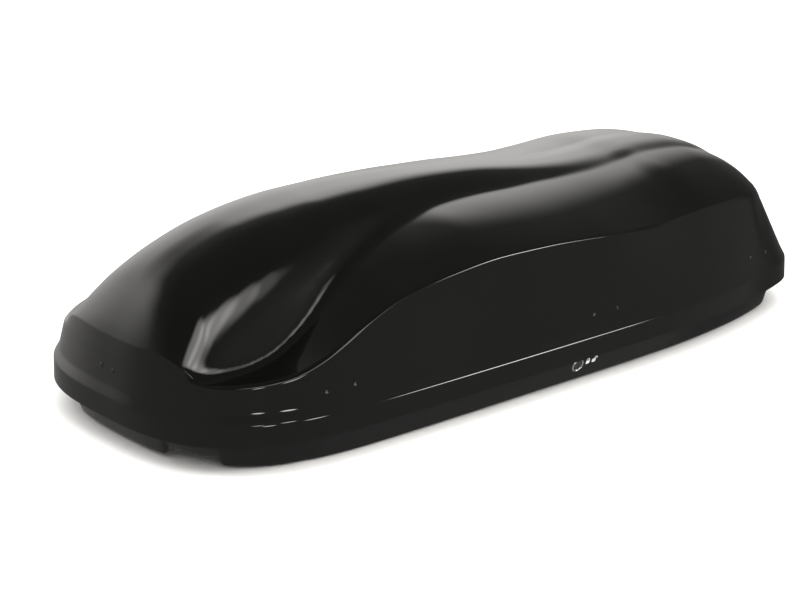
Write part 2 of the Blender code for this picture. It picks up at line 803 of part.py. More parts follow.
def box_mesh(name, low, high):
    shape = bmesh.new()
    bmesh.ops.create_cube(shape, size=1.0)
    size = [h - l for l, h in zip(low, high)]
    centre = [(l + h) / 2 for l, h in zip(low, high)]
    bmesh.ops.scale(shape, vec=size, verts=shape.verts)
    bmesh.ops.translate(shape, vec=centre, verts=shape.verts)
    mesh = bpy.data.meshes.new(name)
    shape.to_mesh(mesh)
    shape.free()
    return mesh


def rod_mesh(name, radius, start, end, sides):
    """Round bar between two points."""
    axis = Vector(end) - Vector(start)
    shape = bmesh.new()
    bmesh.ops.create_cone(shape, cap_ends=True, segments=sides, radius1=radius, radius2=radius,
                          depth=axis.length)
    turn = axis.to_track_quat("Z", "Y").to_matrix().to_4x4()
    turn.translation = (Vector(start) + Vector(end)) / 2
    bmesh.ops.transform(shape, matrix=turn, verts=shape.verts)
    mesh = bpy.data.meshes.new(name)
    shape.to_mesh(mesh)
    shape.free()
    return mesh


def cutter(name, mesh):
    return add_object(name + "_cutter", mesh)


def turned(name, outline, sides, finish=None):
    """A shape turned about Z from (radius, height) points that run down its outer side."""
    points = [(radius, 0.0, height) for radius, height in outline]
    mesh = bpy.data.meshes.new(name)
    mesh.from_pydata(points, [(index, index + 1) for index in range(len(points) - 1)], [])
    item = add_object(name, mesh, finish)
    screw = item.modifiers.new("turn", "SCREW")
    screw.steps = sides
    screw.render_steps = sides
    screw.use_merge_vertices = True
    screw.merge_threshold = 0.00005
    return item


def sheet_strip(name, path, across, thickness, finish=None):
    """Bent sheet: a path of points swept along `across`, which is centred on the path."""
    half = Vector(across) / 2
    points = []
    for place in path:
        points += [Vector(place) - half, Vector(place) + half]
    faces = []
    for index in range(len(path) - 1):
        first = 2 * index
        faces.append((first, first + 1, first + 3, first + 2))
    item = add_object(name, mesh_from(name, points, faces), finish)
    solidify(item, thickness, 0.0)
    return item


def prism(name, section, start_x, end_x, finish=None):
    """A flat section of (y, z) points, lofted straight along X between two places.

    Section may be one list for both ends or a pair of lists, one for each end.
    """
    near, far = section if isinstance(section, tuple) else (section, section)
    count = len(near)
    points = [Vector((start_x, y, z)) for y, z in near] + [Vector((end_x, y, z)) for y, z in far]
    faces = [tuple(range(count)), tuple(range(2 * count - 1, count - 1, -1))]
    for index in range(count):
        after = (index + 1) % count
        faces.append((index, index + count, after + count, after))
    mesh = mesh_from(name, points, faces)
    shape = bmesh.new()
    shape.from_mesh(mesh)
    bmesh.ops.recalc_face_normals(shape, faces=shape.faces)
    shape.to_mesh(mesh)
    shape.free()
    return add_object(name, mesh, finish)


def polygon_radius(radius, sides):
    """Corner radius of a regular polygon whose flats clear a round of the given radius."""
    return radius / math.cos(math.pi / sides)


# Rivets and their holes

def rivet_outline(outer, inner, head, height):
    """Domed rivet: its head sits at `outer` above a shell's face, its tail at `inner` below."""
    return [(0.0, outer + height), (head * 0.55, outer + height * 0.82), (head, outer),
            (RIVET_SHANK, outer), (RIVET_SHANK, -inner), (RIVET_TAIL, -inner),
            (RIVET_TAIL * 0.8, -inner - RIVET_TAIL_HEIGHT), (0.0, -inner - RIVET_TAIL_HEIGHT)]


def make_rivets(name, seats, inner, head, height):
    """Loose rivets through a shell and a plate inside it, each its own node."""
    outline = rivet_outline(TOUCH_GAP, inner + TOUCH_GAP, head, height)
    for number, seat in enumerate(seats, start=1):
        rivet = turned(f"{name}_{number}", outline, RIVET_SIDES, (COATED_BLACK, 0.8, 0.35))
        rivet.matrix_world = seat.frame()


def set_rivets(item, seats, outer, inner):
    """Rivets that are one with the item they hold to a shell."""
    outline = rivet_outline(outer, inner, SMALL_RIVET_HEAD, SMALL_RIVET_HEAD_HEIGHT)
    single = turned(f"{item.name}_rivet", outline, RIVET_SIDES)
    mesh = finished_mesh(single)
    bpy.data.objects.remove(single, do_unlink=True)
    form = joined_mesh(f"{item.name}_rivets", [(mesh, seat.frame()) for seat in seats])
    boolean(item, cutter(f"{item.name}_rivets", form), "UNION")


def set_inner_rivets(item, seats, thickness):
    """Rivets of a plate that lies inside a shell."""
    set_rivets(item, seats, TOUCH_GAP, SHELL_WALL + thickness)


def set_outer_rivets(item, seats, thickness):
    """Rivets of a plate that lies outside a shell."""
    set_rivets(item, seats, thickness, SHELL_WALL + TOUCH_GAP)


def rivet_holes(name, seats, depth=0.010):
    """Cutter with one clearance hole for each seat."""
    radius = polygon_radius(RIVET_SHANK + TOUCH_GAP, RIVET_SIDES)
    drill = rod_mesh(name, radius, (0, 0, -depth), (0, 0, depth), RIVET_SIDES)
    return cutter(name, joined_mesh(name, [(drill, seat.frame()) for seat in seats]))


def opening_side_pairs():
    """Seats of the rivet pairs, square to the flat wall panel at the middle of each pair."""
    seats = []
    for place in PAIR_PLACES:
        middle = lid_seat(place, TRAY_DEPTH + PAIR_HEIGHT, -1)
        for shift in (-PAIR_SPACING / 2, PAIR_SPACING / 2):
            seats.append(Seat(middle.point + middle.along * shift, middle.out, middle.along))
    return seats


def nose_pair():
    seats = []
    for y in (-NOSE_PAIR_SPACING / 2, NOSE_PAIR_SPACING / 2):
        seat = seat_on(lid_surface(), (-LENGTH, -abs(y), TRAY_DEPTH + NOSE_PAIR_HEIGHT),
                       (1.0, 0.0, 0.0), 1 if y > 0 else -1)
        seats.append(seat)
    return seats


def hinge_lid_seats():
    level = TRAY_DEPTH + LID_LEAF_RIVET
    return [lid_seat(place + shift, level, 1) for place in HINGE_PLACES
            for shift in (-HINGE_RIVET_OFFSET, HINGE_RIVET_OFFSET)]


def hinge_tray_seats():
    return [tray_seat(place + shift, TRAY_LEAF_RIVET, 1) for place in HINGE_PLACES
            for shift in (-HINGE_RIVET_OFFSET, HINGE_RIVET_OFFSET)]


def guide_seats():
    seats = [tray_seat(place, GUIDE_RIVET_HEIGHT, -1) for place in GUIDE_PLACES]
    return seats + [tray_seat(TAIL_GUIDE_PLACE, TAIL_GUIDE_RIVET_HEIGHT, -1)]


def rail_seats():
    """Seats under the channels, with the rivet heads facing down."""
    return [Seat(Vector((place, side * RAIL_Y, CHANNEL_DEPTH)), -UP, ALONG)
            for side in (-1, 1) for place in RAIL_RIVET_PLACES]


def strut_tray_seats():
    pivot = strut_tray_pivot()
    return [Seat(Vector((place + shift, pivot.y, CHANNEL_DEPTH)), -UP, ALONG)
            for place in STRUT_PLACES for shift in FOOT_RIVET_SHIFTS]


def strut_lid_seats():
    level = strut_lid_pivot().z
    return [lid_seat(place + shift, level, 1)
            for place in STRUT_PLACES for shift in BRACKET_RIVET_SHIFTS]


# Shells

def lid_grid():
    """Points and faces of the lid's opening half, with its faces outwards."""
    rows = lid_rows(lid_columns())
    width = len(rows[0])
    points = [point for row in rows for point in row]
    faces = []
    for row in range(len(rows) - 1):
        for column in range(width - 1):
            first = row * width + column
            faces.append((first, first + 1, first + width + 1, first + width))
    return points, faces


def tray_grid():
    """Points and faces of the tray's opening half: the wall's rows, then the floor's grid."""
    columns, stations = tray_columns()
    rows = tray_rows(columns)
    lines = len(FLOOR_LINES)
    points = [point for row in rows for point in row]
    width = len(columns)
    faces = []
    for row in range(len(rows) - 1):
        for column in range(width - 1):
            first = row * width + column
            faces.append((first, first + width, first + width + 1, first + 1))
    edge = (len(rows) - 1) * width
    grid = {}
    for line in range(lines):
        grid[(0, line)] = edge + line
        grid[(len(stations) + 1, line)] = edge + width - 1 - line
    for index, x in enumerate(stations, start=1):
        grid[(index, lines - 1)] = edge + lines - 1 + index
        squeeze = mix(1.0, TAIL_SQUEEZE, ease(SQUEEZE_START, SQUEEZE_END, x))
        for line in range(lines - 1):
            y = -FLOOR_LINES[line] * squeeze
            grid[(index, line)] = len(points)
            points.append(Vector((x, y, floor_height(x, y))))
    for index in range(len(stations) + 1):
        for line in range(lines - 1):
            faces.append((grid[(index, line)], grid[(index + 1, line)],
                          grid[(index + 1, line + 1)], grid[(index, line + 1)]))
    return points, faces


def mirror_and_wall(item):
    mirror = item.modifiers.new("far half", "MIRROR")
    mirror.use_axis = (False, True, False)
    mirror.use_clip = True
    mirror.merge_threshold = 0.00005
    solidify(item, SHELL_WALL, -1.0)


def make_lid_shell():
    """Lid: one vacuum-formed shell with its skirt, ledge, leaning wall, ridge, scoops and hood."""
    shell = add_object("lid_shell", mesh_from("lid_shell", *lid_grid()), (GLOSS_BLACK, 0.0, 0.12))
    mirror_and_wall(shell)
    seats = opening_side_pairs() + nose_pair() + hinge_lid_seats() + strut_lid_seats()
    boolean(shell, rivet_holes("lid_rivet_holes", seats), "DIFFERENCE")
    return shell


def make_tray_shell():
    """Tray: one vacuum-formed shell with its rim, wall, runners and channels."""
    shell = add_object("tray_shell", mesh_from("tray_shell", *tray_grid()),
                       (GLOSS_BLACK, 0.0, 0.16))
    mirror_and_wall(shell)
    seats = guide_seats() + hinge_tray_seats() + rail_seats() + strut_tray_seats()
    boolean(shell, rivet_holes("tray_rivet_holes", seats), "DIFFERENCE")
    hole = rod_mesh("lock_hole", polygon_radius(BARREL_RADIUS + TOUCH_GAP, LOCK_SIDES),
                    (0, 0, -0.008), (0, 0, 0.008), LOCK_SIDES)
    boolean(shell, cutter("lock_hole", placed(hole, lock_seat())), "DIFFERENCE")
    return shell


def make_floor_rails():
    """Two flat steel rails that spread the load of the roof bars over the channels."""
    bottom = FLOOR_TOP + TOUCH_GAP
    for label, side in (("opening_side", -1), ("hinge_side", 1)):
        low = (RAIL_FRONT, side * RAIL_Y - RAIL_WIDTH / 2, bottom)
        high = (RAIL_REAR, side * RAIL_Y + RAIL_WIDTH / 2, bottom + RAIL_THICKNESS)
        rail = add_object(f"floor_rail_{label}", box_mesh("rail", low, high), (STEEL, 1.0, 0.4))
        seats = [seat for seat in rail_seats() if seat.point.y * side > 0]
        set_inner_rivets(rail, seats, RAIL_THICKNESS)


# Catches on the lid

def catch_hook_start(place):
    """Place on a catch's plate, low on its inner side, where its hook leaves it."""
    seat = lid_seat(place, TRAY_DEPTH + PAIR_HEIGHT, -1)
    middle = seat.point - seat.out * (SHELL_WALL + PLATE_GAP + CATCH_SHEET / 2)
    skew = CATCH_HOOK_WIDTH / 2 * abs(seat.along.y / seat.along.x)
    return middle - wall_up(seat) * CATCH_HEIGHT * 0.35 - seat.out * skew


def make_catches():
    """Three steel catches inside the lid wall. Each ends in a tongue that the lock bar holds."""
    names = ("lid_catch_front", "lid_catch_middle", "lid_catch_rear")
    seats = opening_side_pairs()
    depth = SHELL_WALL + PLATE_GAP + CATCH_SHEET / 2
    for index, (name, place) in enumerate(zip(names, PAIR_PLACES)):
        seat = lid_seat(place, TRAY_DEPTH + PAIR_HEIGHT, -1)
        middle = seat.point - seat.out * depth
        upward = wall_up(seat)
        plate = sheet_strip(name, [middle - upward * CATCH_HEIGHT / 2,
                                   middle + upward * CATCH_HEIGHT / 2],
                            seat.along * CATCH_WIDTH, CATCH_SHEET, (STEEL, 1.0, 0.35))
        start = catch_hook_start(place)
        bar_y = bar_y_at(place)
        drop = start.y + CATCH_SWEEP
        path = [(place, start.y, start.z), (place, drop, start.z - CATCH_SWEEP),
                (place, drop, TONGUE_HEIGHT), (place, bar_y - TONGUE_END_GAP, TONGUE_HEIGHT)]
        hook = sheet_strip(f"{name}_hook_form", path, ALONG * CATCH_HOOK_WIDTH, CATCH_SHEET)
        boolean(plate, hook, "UNION")
        boolean(plate, rivet_holes(f"{name}_holes", seats[2 * index:2 * index + 2]), "DIFFERENCE")
    make_rivets("lid_catch_rivet", seats, SHELL_WALL + PLATE_GAP + CATCH_SHEET, RIVET_HEAD,
                RIVET_HEAD_HEIGHT)


def make_nose_locator():
    """Bent steel tongue inside the nose, which drops behind the tray's rim."""
    seats = nose_pair()
    depth = SHELL_WALL + PLATE_GAP + CATCH_SHEET / 2
    middle = (seats[0].point + seats[1].point) / 2
    out = ((seats[0].out + seats[1].out) / 2).normalized()
    upward = (UP - out * out.z).normalized()
    plate_middle = middle - out * depth
    top = plate_middle + upward * CATCH_HEIGHT * 0.4
    bottom = plate_middle - upward * CATCH_HEIGHT * 0.5
    tongue_x = NOSE_X + TRAY_WALL_INSET + SHELL_WALL + LOCATOR_GAP
    path = [top, bottom, (tongue_x, 0.0, bottom.z - CATCH_SWEEP),
            (tongue_x, 0.0, TRAY_DEPTH + LOCATOR_HEIGHT)]
    width = NOSE_PAIR_SPACING + LOCATOR_MARGIN
    tongue = sheet_strip("nose_locator", path, (0.0, width, 0.0), CATCH_SHEET, (STEEL, 1.0, 0.35))
    boolean(tongue, rivet_holes("nose_locator_holes", seats), "DIFFERENCE")
    make_rivets("nose_locator_rivet", seats, SHELL_WALL + PLATE_GAP + CATCH_SHEET,
                RIVET_HEAD, RIVET_HEAD_HEIGHT)


# Lock

def lock_seat():
    return tray_seat(LOCK_X, LOCK_HEIGHT, -1)


def placed(mesh, seat):
    return joined_mesh(mesh.name, [(mesh, seat.frame())])


def crank_pin_place():
    """Crank pin in the lock's own frame: X along the box, Y up the wall, unlocked."""
    half = CRANK_RADIUS / math.sqrt(2.0)
    return -half, half


def make_lock():
    """Key lock low on the tray's opening side: ring, body, turning barrel and its cam."""
    seat = lock_seat()
    bezel = turned("lock_bezel", [(BEZEL_BORE, BEZEL_HEIGHT), (BEZEL_RADIUS - 0.0012, BEZEL_HEIGHT),
                                  (BEZEL_RADIUS, BEZEL_HEIGHT - 0.0012), (BEZEL_RADIUS, TOUCH_GAP),
                                  (BEZEL_BORE, TOUCH_GAP), (BEZEL_BORE, BEZEL_HEIGHT)],
                   24, (CHROME, 1.0, 0.08))
    bezel.matrix_world = seat.frame()

    inner = -SHELL_WALL - TOUCH_GAP
    bore = polygon_radius(BARREL_RADIUS + TOUCH_GAP, LOCK_SIDES)
    housing = turned("lock_housing", [(bore, inner), (HOUSING_RADIUS, inner),
                                      (HOUSING_RADIUS, inner - HOUSING_DEPTH),
                                      (bore, inner - HOUSING_DEPTH), (bore, inner)],
                     LOCK_SIDES, (PLASTIC_BLACK, 0.0, 0.45))
    housing.matrix_world = seat.frame()

    back = inner - HOUSING_DEPTH - TOUCH_GAP
    barrel = add_object("lock_barrel",
                        rod_mesh("lock_barrel", BARREL_RADIUS, (0, 0, back), (0, 0, BARREL_PROUD),
                                 LOCK_SIDES), (COATED_BLACK, 0.9, 0.25))
    barrel.matrix_world = seat.frame()
    slot = box_mesh("keyway", (-KEYWAY_WIDTH / 2, -KEYWAY_LENGTH / 2, BARREL_PROUD - KEYWAY_DEPTH),
                    (KEYWAY_WIDTH / 2, KEYWAY_LENGTH / 2, BARREL_PROUD + 0.002))
    boolean(barrel, cutter("keyway", placed(slot, seat)), "DIFFERENCE")

    pin_x, pin_y = crank_pin_place()
    cam_top = back - TOUCH_GAP
    cam = add_object("lock_cam", rod_mesh("lock_cam", CAM_RADIUS, (0, 0, cam_top - CAM_THICKNESS),
                                          (0, 0, cam_top), LOCK_SIDES), (STEEL, 1.0, 0.35))
    cam.matrix_world = seat.frame()
    pin = rod_mesh("crank_pin", CRANK_PIN_RADIUS, (pin_x, pin_y, cam_top - CAM_THICKNESS / 2),
                   (pin_x, pin_y, cam_top - CAM_THICKNESS - CRANK_PIN_LENGTH), 10)
    boolean(cam, cutter("crank_pin", placed(pin, seat)), "UNION")


def bar_y_at(x):
    share = share_between(BAR_BEND_START, BAR_BEND_END, x)
    return mix(BAR_Y, BAR_REAR_Y, share)


def make_lock_bar():
    """One bent flat bar with three fingers and a slotted plate that the lock's crank pin drives."""
    path = [(x, bar_y_at(x), BAR_HEIGHT)
            for x in (BAR_FRONT_END, BAR_BEND_START, BAR_BEND_END, BAR_REAR_END)]
    bar = sheet_strip("lock_bar", path, UP * BAR_DEPTH, BAR_SHEET, (STEEL, 1.0, 0.35))
    tab_height = TONGUE_HEIGHT + CATCH_SHEET / 2 + FINGER_LIFT + BAR_SHEET / 2
    for index, place in enumerate(PAIR_PLACES):
        y = bar_y_at(place)
        x = place - BAR_TRAVEL
        end = catch_hook_start(place).y + CATCH_SWEEP + CATCH_SHEET / 2 + FINGER_END_GAP
        path = [(x, y, BAR_HEIGHT), (x, y, tab_height), (x, end, tab_height)]
        finger = sheet_strip(f"bar_finger_{index}_form", path, ALONG * FINGER_WIDTH, BAR_SHEET)
        boolean(bar, finger, "UNION")

    seat = lock_seat()
    pin_x, pin_y = crank_pin_place()
    depth = (BAR_Y - seat.point.y) / -seat.out.y
    travel_y = CRANK_RADIUS - pin_y
    low_pin = seat.frame() @ Vector((pin_x, pin_y, -depth))
    high_pin = seat.frame() @ Vector((pin_x, pin_y + travel_y, -depth))
    side_room = CRANK_PIN_RADIUS + 0.0010
    end_room = polygon_radius(CRANK_PIN_RADIUS, 10) + 0.0022
    slot_low = low_pin.z - end_room
    slot_high = high_pin.z + end_room
    rim = 0.005
    plate = add_object("slot_plate_form", box_mesh(
        "slot_plate", (low_pin.x - side_room - rim, BAR_Y - BAR_SHEET / 2, slot_low - rim),
        (low_pin.x + side_room + rim, BAR_Y + BAR_SHEET / 2, slot_high + rim)))
    boolean(bar, plate, "UNION")
    slot = box_mesh("crank_slot", (low_pin.x - side_room, BAR_Y - 0.01, slot_low),
                    (low_pin.x + side_room, BAR_Y + 0.01, slot_high))
    boolean(bar, cutter("crank_slot", slot), "DIFFERENCE")


def guide_section(x, levels, step_from_top):
    """Side view of a bar guide at x: a flange on the tray wall and a block around the bar."""
    wall = []
    flange = []
    depth = SHELL_WALL + TOUCH_GAP
    for level in levels:
        y = level_y(tray_seat, x, level, -1, depth)
        wall.append((y, level))
        flange.append((y + GUIDE_FLANGE, level))
    inside = bar_y_at(x) + BAR_SHEET / 2 + GUIDE_LIP
    low, step, high = levels[0], levels[1], levels[-1]
    if step_from_top:
        return wall + [flange[-1], flange[1], (inside, step), (inside, low)]
    return wall + [(inside, high), (inside, step), flange[1], flange[0]]


def make_bar_guides():
    """Moulded blocks riveted inside the tray wall, each with a window that the bar slides in."""
    guides = [("bar_guide_nose", GUIDE_PLACES[0]), ("bar_guide_front", GUIDE_PLACES[1]),
              ("bar_guide_middle", GUIDE_PLACES[2]), ("bar_guide_rear", GUIDE_PLACES[3]),
              ("bar_guide_tail", TAIL_GUIDE_PLACE)]
    for (name, place), seat in zip(guides, guide_seats()):
        tail = place == TAIL_GUIDE_PLACE
        levels = (GUIDE_LOW, GUIDE_STEP, TRAY_DEPTH, GUIDE_HIGH)
        if tail:
            levels = (GUIDE_STEP, GUIDE_HIGH, TAIL_GUIDE_HIGH)
        low_x = place - GUIDE_WIDTH / 2
        high_x = place + GUIDE_WIDTH / 2
        sections = (guide_section(low_x, levels, tail), guide_section(high_x, levels, tail))
        guide = prism(name, sections, low_x, high_x, (PLASTIC_BLACK, 0.0, 0.5))
        half_sheet = BAR_SHEET / 2 + BAR_RUNNING_GAP
        half_depth = BAR_DEPTH / 2 + BAR_RUNNING_GAP
        bar_y = bar_y_at(place)
        window = box_mesh(name, (low_x - 0.01, bar_y - half_sheet, BAR_HEIGHT - half_depth),
                          (high_x + 0.01, bar_y + half_sheet, BAR_HEIGHT + half_depth))
        boolean(guide, cutter(f"{name}_window", window), "DIFFERENCE")
        boolean(guide, rivet_holes(f"{name}_hole", [seat], GUIDE_DRILL), "DIFFERENCE")
    make_rivets("bar_guide_rivet", guide_seats(), SHELL_WALL + TOUCH_GAP + GUIDE_FLANGE,
                SMALL_RIVET_HEAD, SMALL_RIVET_HEAD_HEIGHT)


# Hinges

def axis_rod(name, radius, start, end, sides, place):
    """Round bar along X whose ends are measured from a place."""
    return rod_mesh(name, radius, (place + start, HINGE_Y, HINGE_Z), (place + end, HINGE_Y, HINGE_Z),
                    sides)


def wall_plate(name, seat, width, low, high, thickness, side_of_wall, finish=None):
    """Flat sheet lying on a wall between two distances up it from the seat.

    Side of wall is 1 for the outer face and -1 for the inner one.
    """
    if side_of_wall > 0:
        shift = TOUCH_GAP + thickness / 2
    else:
        shift = -(SHELL_WALL + TOUCH_GAP + thickness / 2)
    middle = seat.point + seat.out * shift
    upward = wall_up(seat)
    return sheet_strip(name, [middle + upward * low, middle + upward * high], seat.along * width,
                       thickness, finish)


def make_hinges():
    """Three leaf hinges outside the far side, each with a lid leaf, a tray leaf and a pin."""
    labels = ("front", "middle", "rear")
    lid_seats = hinge_lid_seats()
    tray_seats = hinge_tray_seats()
    steel = (COATED_BLACK, 0.7, 0.4)
    bore_radius = polygon_radius(KNUCKLE_BORE, ROUND_SIDES)
    knuckle_half = LID_KNUCKLE / 2
    tray_start = knuckle_half + TOUCH_GAP
    tray_end = tray_start + TRAY_KNUCKLE
    for index, (label, place) in enumerate(zip(labels, HINGE_PLACES)):
        seat = lid_seat(place, TRAY_DEPTH + LID_LEAF_RIVET, 1)
        leaf = wall_plate(f"hinge_lid_leaf_{label}", seat, HINGE_LEAF_WIDTH,
                          LID_LEAF_LOW - LID_LEAF_RIVET, LID_LEAF_HIGH - LID_LEAF_RIVET,
                          HINGE_SHEET, 1, steel)
        skew = knuckle_half * abs(seat.along.y / seat.along.x)
        neck_top = TRAY_DEPTH + LID_NECK_TOP
        neck_y = level_y(lid_seat, place, neck_top, 1, -(TOUCH_GAP + HINGE_SHEET / 2)) + skew
        neck = sheet_strip(f"hinge_neck_{label}_form",
                           [(place, HINGE_Y, HINGE_Z + SHEET_OFFSET),
                            (place, neck_y, neck_top)], ALONG * LID_NECK, HINGE_SHEET)
        boolean(leaf, neck, "UNION")
        boolean(leaf, cutter(f"lid_knuckle_{label}", axis_rod(
            "lid_knuckle", KNUCKLE_RADIUS, -knuckle_half, knuckle_half, ROUND_SIDES, place)), "UNION")
        bore = cutter(f"hinge_bore_{label}", axis_rod(
            "bore", bore_radius, -tray_end - 0.01, tray_end + 0.01, ROUND_SIDES, place))
        boolean(leaf, bore, "DIFFERENCE")
        set_outer_rivets(leaf, lid_seats[2 * index:2 * index + 2], HINGE_SHEET)

        seat = tray_seat(place, TRAY_LEAF_RIVET, 1)
        leaf = wall_plate(f"hinge_tray_leaf_{label}", seat, HINGE_LEAF_WIDTH,
                          TRAY_LEAF_LOW - TRAY_LEAF_RIVET, TRAY_LEAF_HIGH - TRAY_LEAF_RIVET,
                          HINGE_SHEET, 1, steel)
        for end in (-1, 1):
            middle = place + end * (tray_start + tray_end) / 2
            skew = TRAY_KNUCKLE / 2 * abs(seat.along.y / seat.along.x)
            arm_y = level_y(tray_seat, middle, TRAY_ARM_START, 1,
                            -(TOUCH_GAP + HINGE_SHEET / 2)) + skew
            arm = sheet_strip(f"hinge_arm_{label}_{end}_form",
                              [(middle, arm_y, TRAY_ARM_START),
                               (middle, HINGE_Y, HINGE_Z - SHEET_OFFSET)],
                              ALONG * TRAY_ARM, HINGE_SHEET)
            boolean(leaf, arm, "UNION")
            boolean(leaf, cutter(f"tray_knuckle_{label}_{end}", axis_rod(
                "tray_knuckle", KNUCKLE_RADIUS, end * tray_start, end * tray_end, ROUND_SIDES,
                place)), "UNION")
        boolean(leaf, bore, "DIFFERENCE")
        set_outer_rivets(leaf, tray_seats[2 * index:2 * index + 2], HINGE_SHEET)

        end = tray_end + TOUCH_GAP
        head = end + HINGE_PIN_HEAD_HEIGHT
        pin = turned(f"hinge_pin_{label}",
                     [(0.0, head), (HINGE_PIN_HEAD, head), (HINGE_PIN_HEAD, end),
                      (HINGE_PIN_RADIUS, end), (HINGE_PIN_RADIUS, -end), (HINGE_PIN_HEAD, -end),
                      (HINGE_PIN_HEAD, -head), (0.0, -head)], ROUND_SIDES, (STEEL, 1.0, 0.3))
        pin.matrix_world = Matrix.Translation((place, HINGE_Y, HINGE_Z)) \
            @ Matrix.Rotation(math.pi / 2, 4, "Y")


# Gas struts

def strut_direction():
    return (strut_lid_pivot() - strut_tray_pivot()).normalized()


def on_strut(place, distance):
    """Point on a strut's centre line, at a distance from the tray pivot."""
    point = strut_tray_pivot() + strut_direction() * distance
    return Vector((place, point.y, point.z))


def across(name, radius, point, half, sides):
    """Round bar along X, centred on a point."""
    return rod_mesh(name, radius, point - ALONG * half, point + ALONG * half, sides)


def make_strut(label, place):
    """One gas strut with its rod, and the two brackets that carry its ends."""
    eye_half = STRUT_EYE_WIDTH / 2
    hole = polygon_radius(STRUT_STUD_RADIUS + TOUCH_GAP, ROUND_SIDES)
    start = on_strut(place, 0.0)
    cylinder = add_object(f"strut_cylinder_{label}", rod_mesh(
        "cylinder", STRUT_CYLINDER_RADIUS, on_strut(place, STRUT_CYLINDER_START),
        on_strut(place, STRUT_CYLINDER_END), 16), (COATED_BLACK, 0.6, 0.3))
    boolean(cylinder, cutter(f"strut_eye_{label}", across(
        "eye", STRUT_EYE_RADIUS, start, eye_half, ROUND_SIDES)), "UNION")
    boolean(cylinder, cutter(f"strut_bore_{label}", rod_mesh(
        "bore", polygon_radius(STRUT_BORE_RADIUS, ROUND_SIDES), on_strut(place, STRUT_BORE_START),
        on_strut(place, STRUT_CYLINDER_END + 0.01), ROUND_SIDES)), "DIFFERENCE")
    boolean(cylinder, cutter(f"strut_eye_hole_{label}", across(
        "hole", hole, start, 0.03, ROUND_SIDES)), "DIFFERENCE")
    for end in (-1, 1):
        side = start + ALONG * end * (eye_half + 0.01)
        low = side - Vector((0.01, 0.02, 0.02))
        high = side + Vector((0.01, 0.02, 0.02))
        boolean(cylinder, cutter(f"strut_flat_{label}_{end}", box_mesh("flat", low, high)),
                "DIFFERENCE")

    slack = strut_slack()
    eye_distance = strut_length(0.0) + slack
    eye = on_strut(place, eye_distance)
    rod = add_object(f"strut_rod_{label}", rod_mesh(
        "rod", STRUT_ROD_RADIUS, on_strut(place, STRUT_ROD_START),
        on_strut(place, eye_distance - STRUT_EYE_RADIUS + ROD_TO_EYE), ROUND_SIDES),
        (STEEL, 1.0, 0.15))
    boolean(rod, cutter(f"rod_eye_{label}", across(
        "eye", STRUT_EYE_RADIUS, eye, eye_half, ROUND_SIDES)), "UNION")
    for end in (-1, 0, 1):
        point = eye + strut_direction() * (slack + TOUCH_GAP) * end
        boolean(rod, cutter(f"rod_slot_{label}_{end}", across(
            "slot", hole, point, 0.03, ROUND_SIDES)), "DIFFERENCE")

    web_near = place + eye_half + STRUT_SIDE_GAP
    web_far = web_near + BRACKET_SHEET
    stud_end = place - eye_half - STRUT_STUD_END
    web_middle = (web_near + web_far) / 2
    steel = (COATED_BLACK, 0.7, 0.4)

    pivot = strut_lid_pivot()
    seat = lid_seat(place + BRACKET_SHIFT, pivot.z, 1)
    bracket = wall_plate(f"strut_lid_bracket_{label}", seat, BRACKET_WIDTH, -BRACKET_HEIGHT / 2,
                         BRACKET_HEIGHT / 2, BRACKET_SHEET, -1, steel)
    reach = BRACKET_HEIGHT * 0.4
    depth = SHELL_WALL + TOUCH_GAP + BRACKET_SHEET / 2
    low_y = level_y(lid_seat, web_middle, pivot.z - reach, 1, depth)
    high_y = level_y(lid_seat, web_middle, pivot.z + reach, 1, depth)
    boolean(bracket, prism(f"lid_web_{label}_form", [
        (low_y, pivot.z - reach), (high_y, pivot.z + reach), (pivot.y, pivot.z + BRACKET_NOSE),
        (pivot.y - BRACKET_NOSE, pivot.z), (pivot.y, pivot.z - BRACKET_NOSE)],
        web_near, web_far), "UNION")
    boolean(bracket, cutter(f"lid_stud_{label}", rod_mesh(
        "stud", STRUT_STUD_RADIUS, (stud_end, pivot.y, pivot.z), (web_middle, pivot.y, pivot.z),
        ROUND_SIDES)), "UNION")
    seats = [s for s in strut_lid_seats() if abs(s.point.x - place) < BRACKET_WIDTH]
    set_inner_rivets(bracket, seats, BRACKET_SHEET)

    pivot = strut_tray_pivot()
    bottom = FLOOR_TOP + TOUCH_GAP
    foot_x = place + sum(FOOT_RIVET_SHIFTS) / 2
    bracket = add_object(f"strut_tray_bracket_{label}", box_mesh(
        "foot", (foot_x - FOOT_LENGTH / 2, pivot.y - FOOT_WIDTH / 2, bottom),
        (foot_x + FOOT_LENGTH / 2, pivot.y + FOOT_WIDTH / 2, bottom + BRACKET_SHEET)), steel)
    half = FOOT_WIDTH * 0.45
    middle = bottom + BRACKET_SHEET / 2
    boolean(bracket, prism(f"tray_web_{label}_form", [
        (pivot.y - half, middle), (pivot.y + half, middle), (pivot.y + BRACKET_NOSE, pivot.z),
        (pivot.y, pivot.z + BRACKET_NOSE), (pivot.y - BRACKET_NOSE, pivot.z)],
        web_near, web_far), "UNION")
    boolean(bracket, cutter(f"tray_stud_{label}", rod_mesh(
        "stud", STRUT_STUD_RADIUS, (stud_end, pivot.y, pivot.z), (web_middle, pivot.y, pivot.z),
        ROUND_SIDES)), "UNION")
    seats = [s for s in strut_tray_seats() if abs(s.point.x - place) < FOOT_LENGTH]
    set_inner_rivets(bracket, seats, BRACKET_SHEET)


def make_struts():
    for label, place in zip(("front", "rear"), STRUT_PLACES):
        make_strut(label, place)


# Empties on the joints' axes, which carry the moving parts

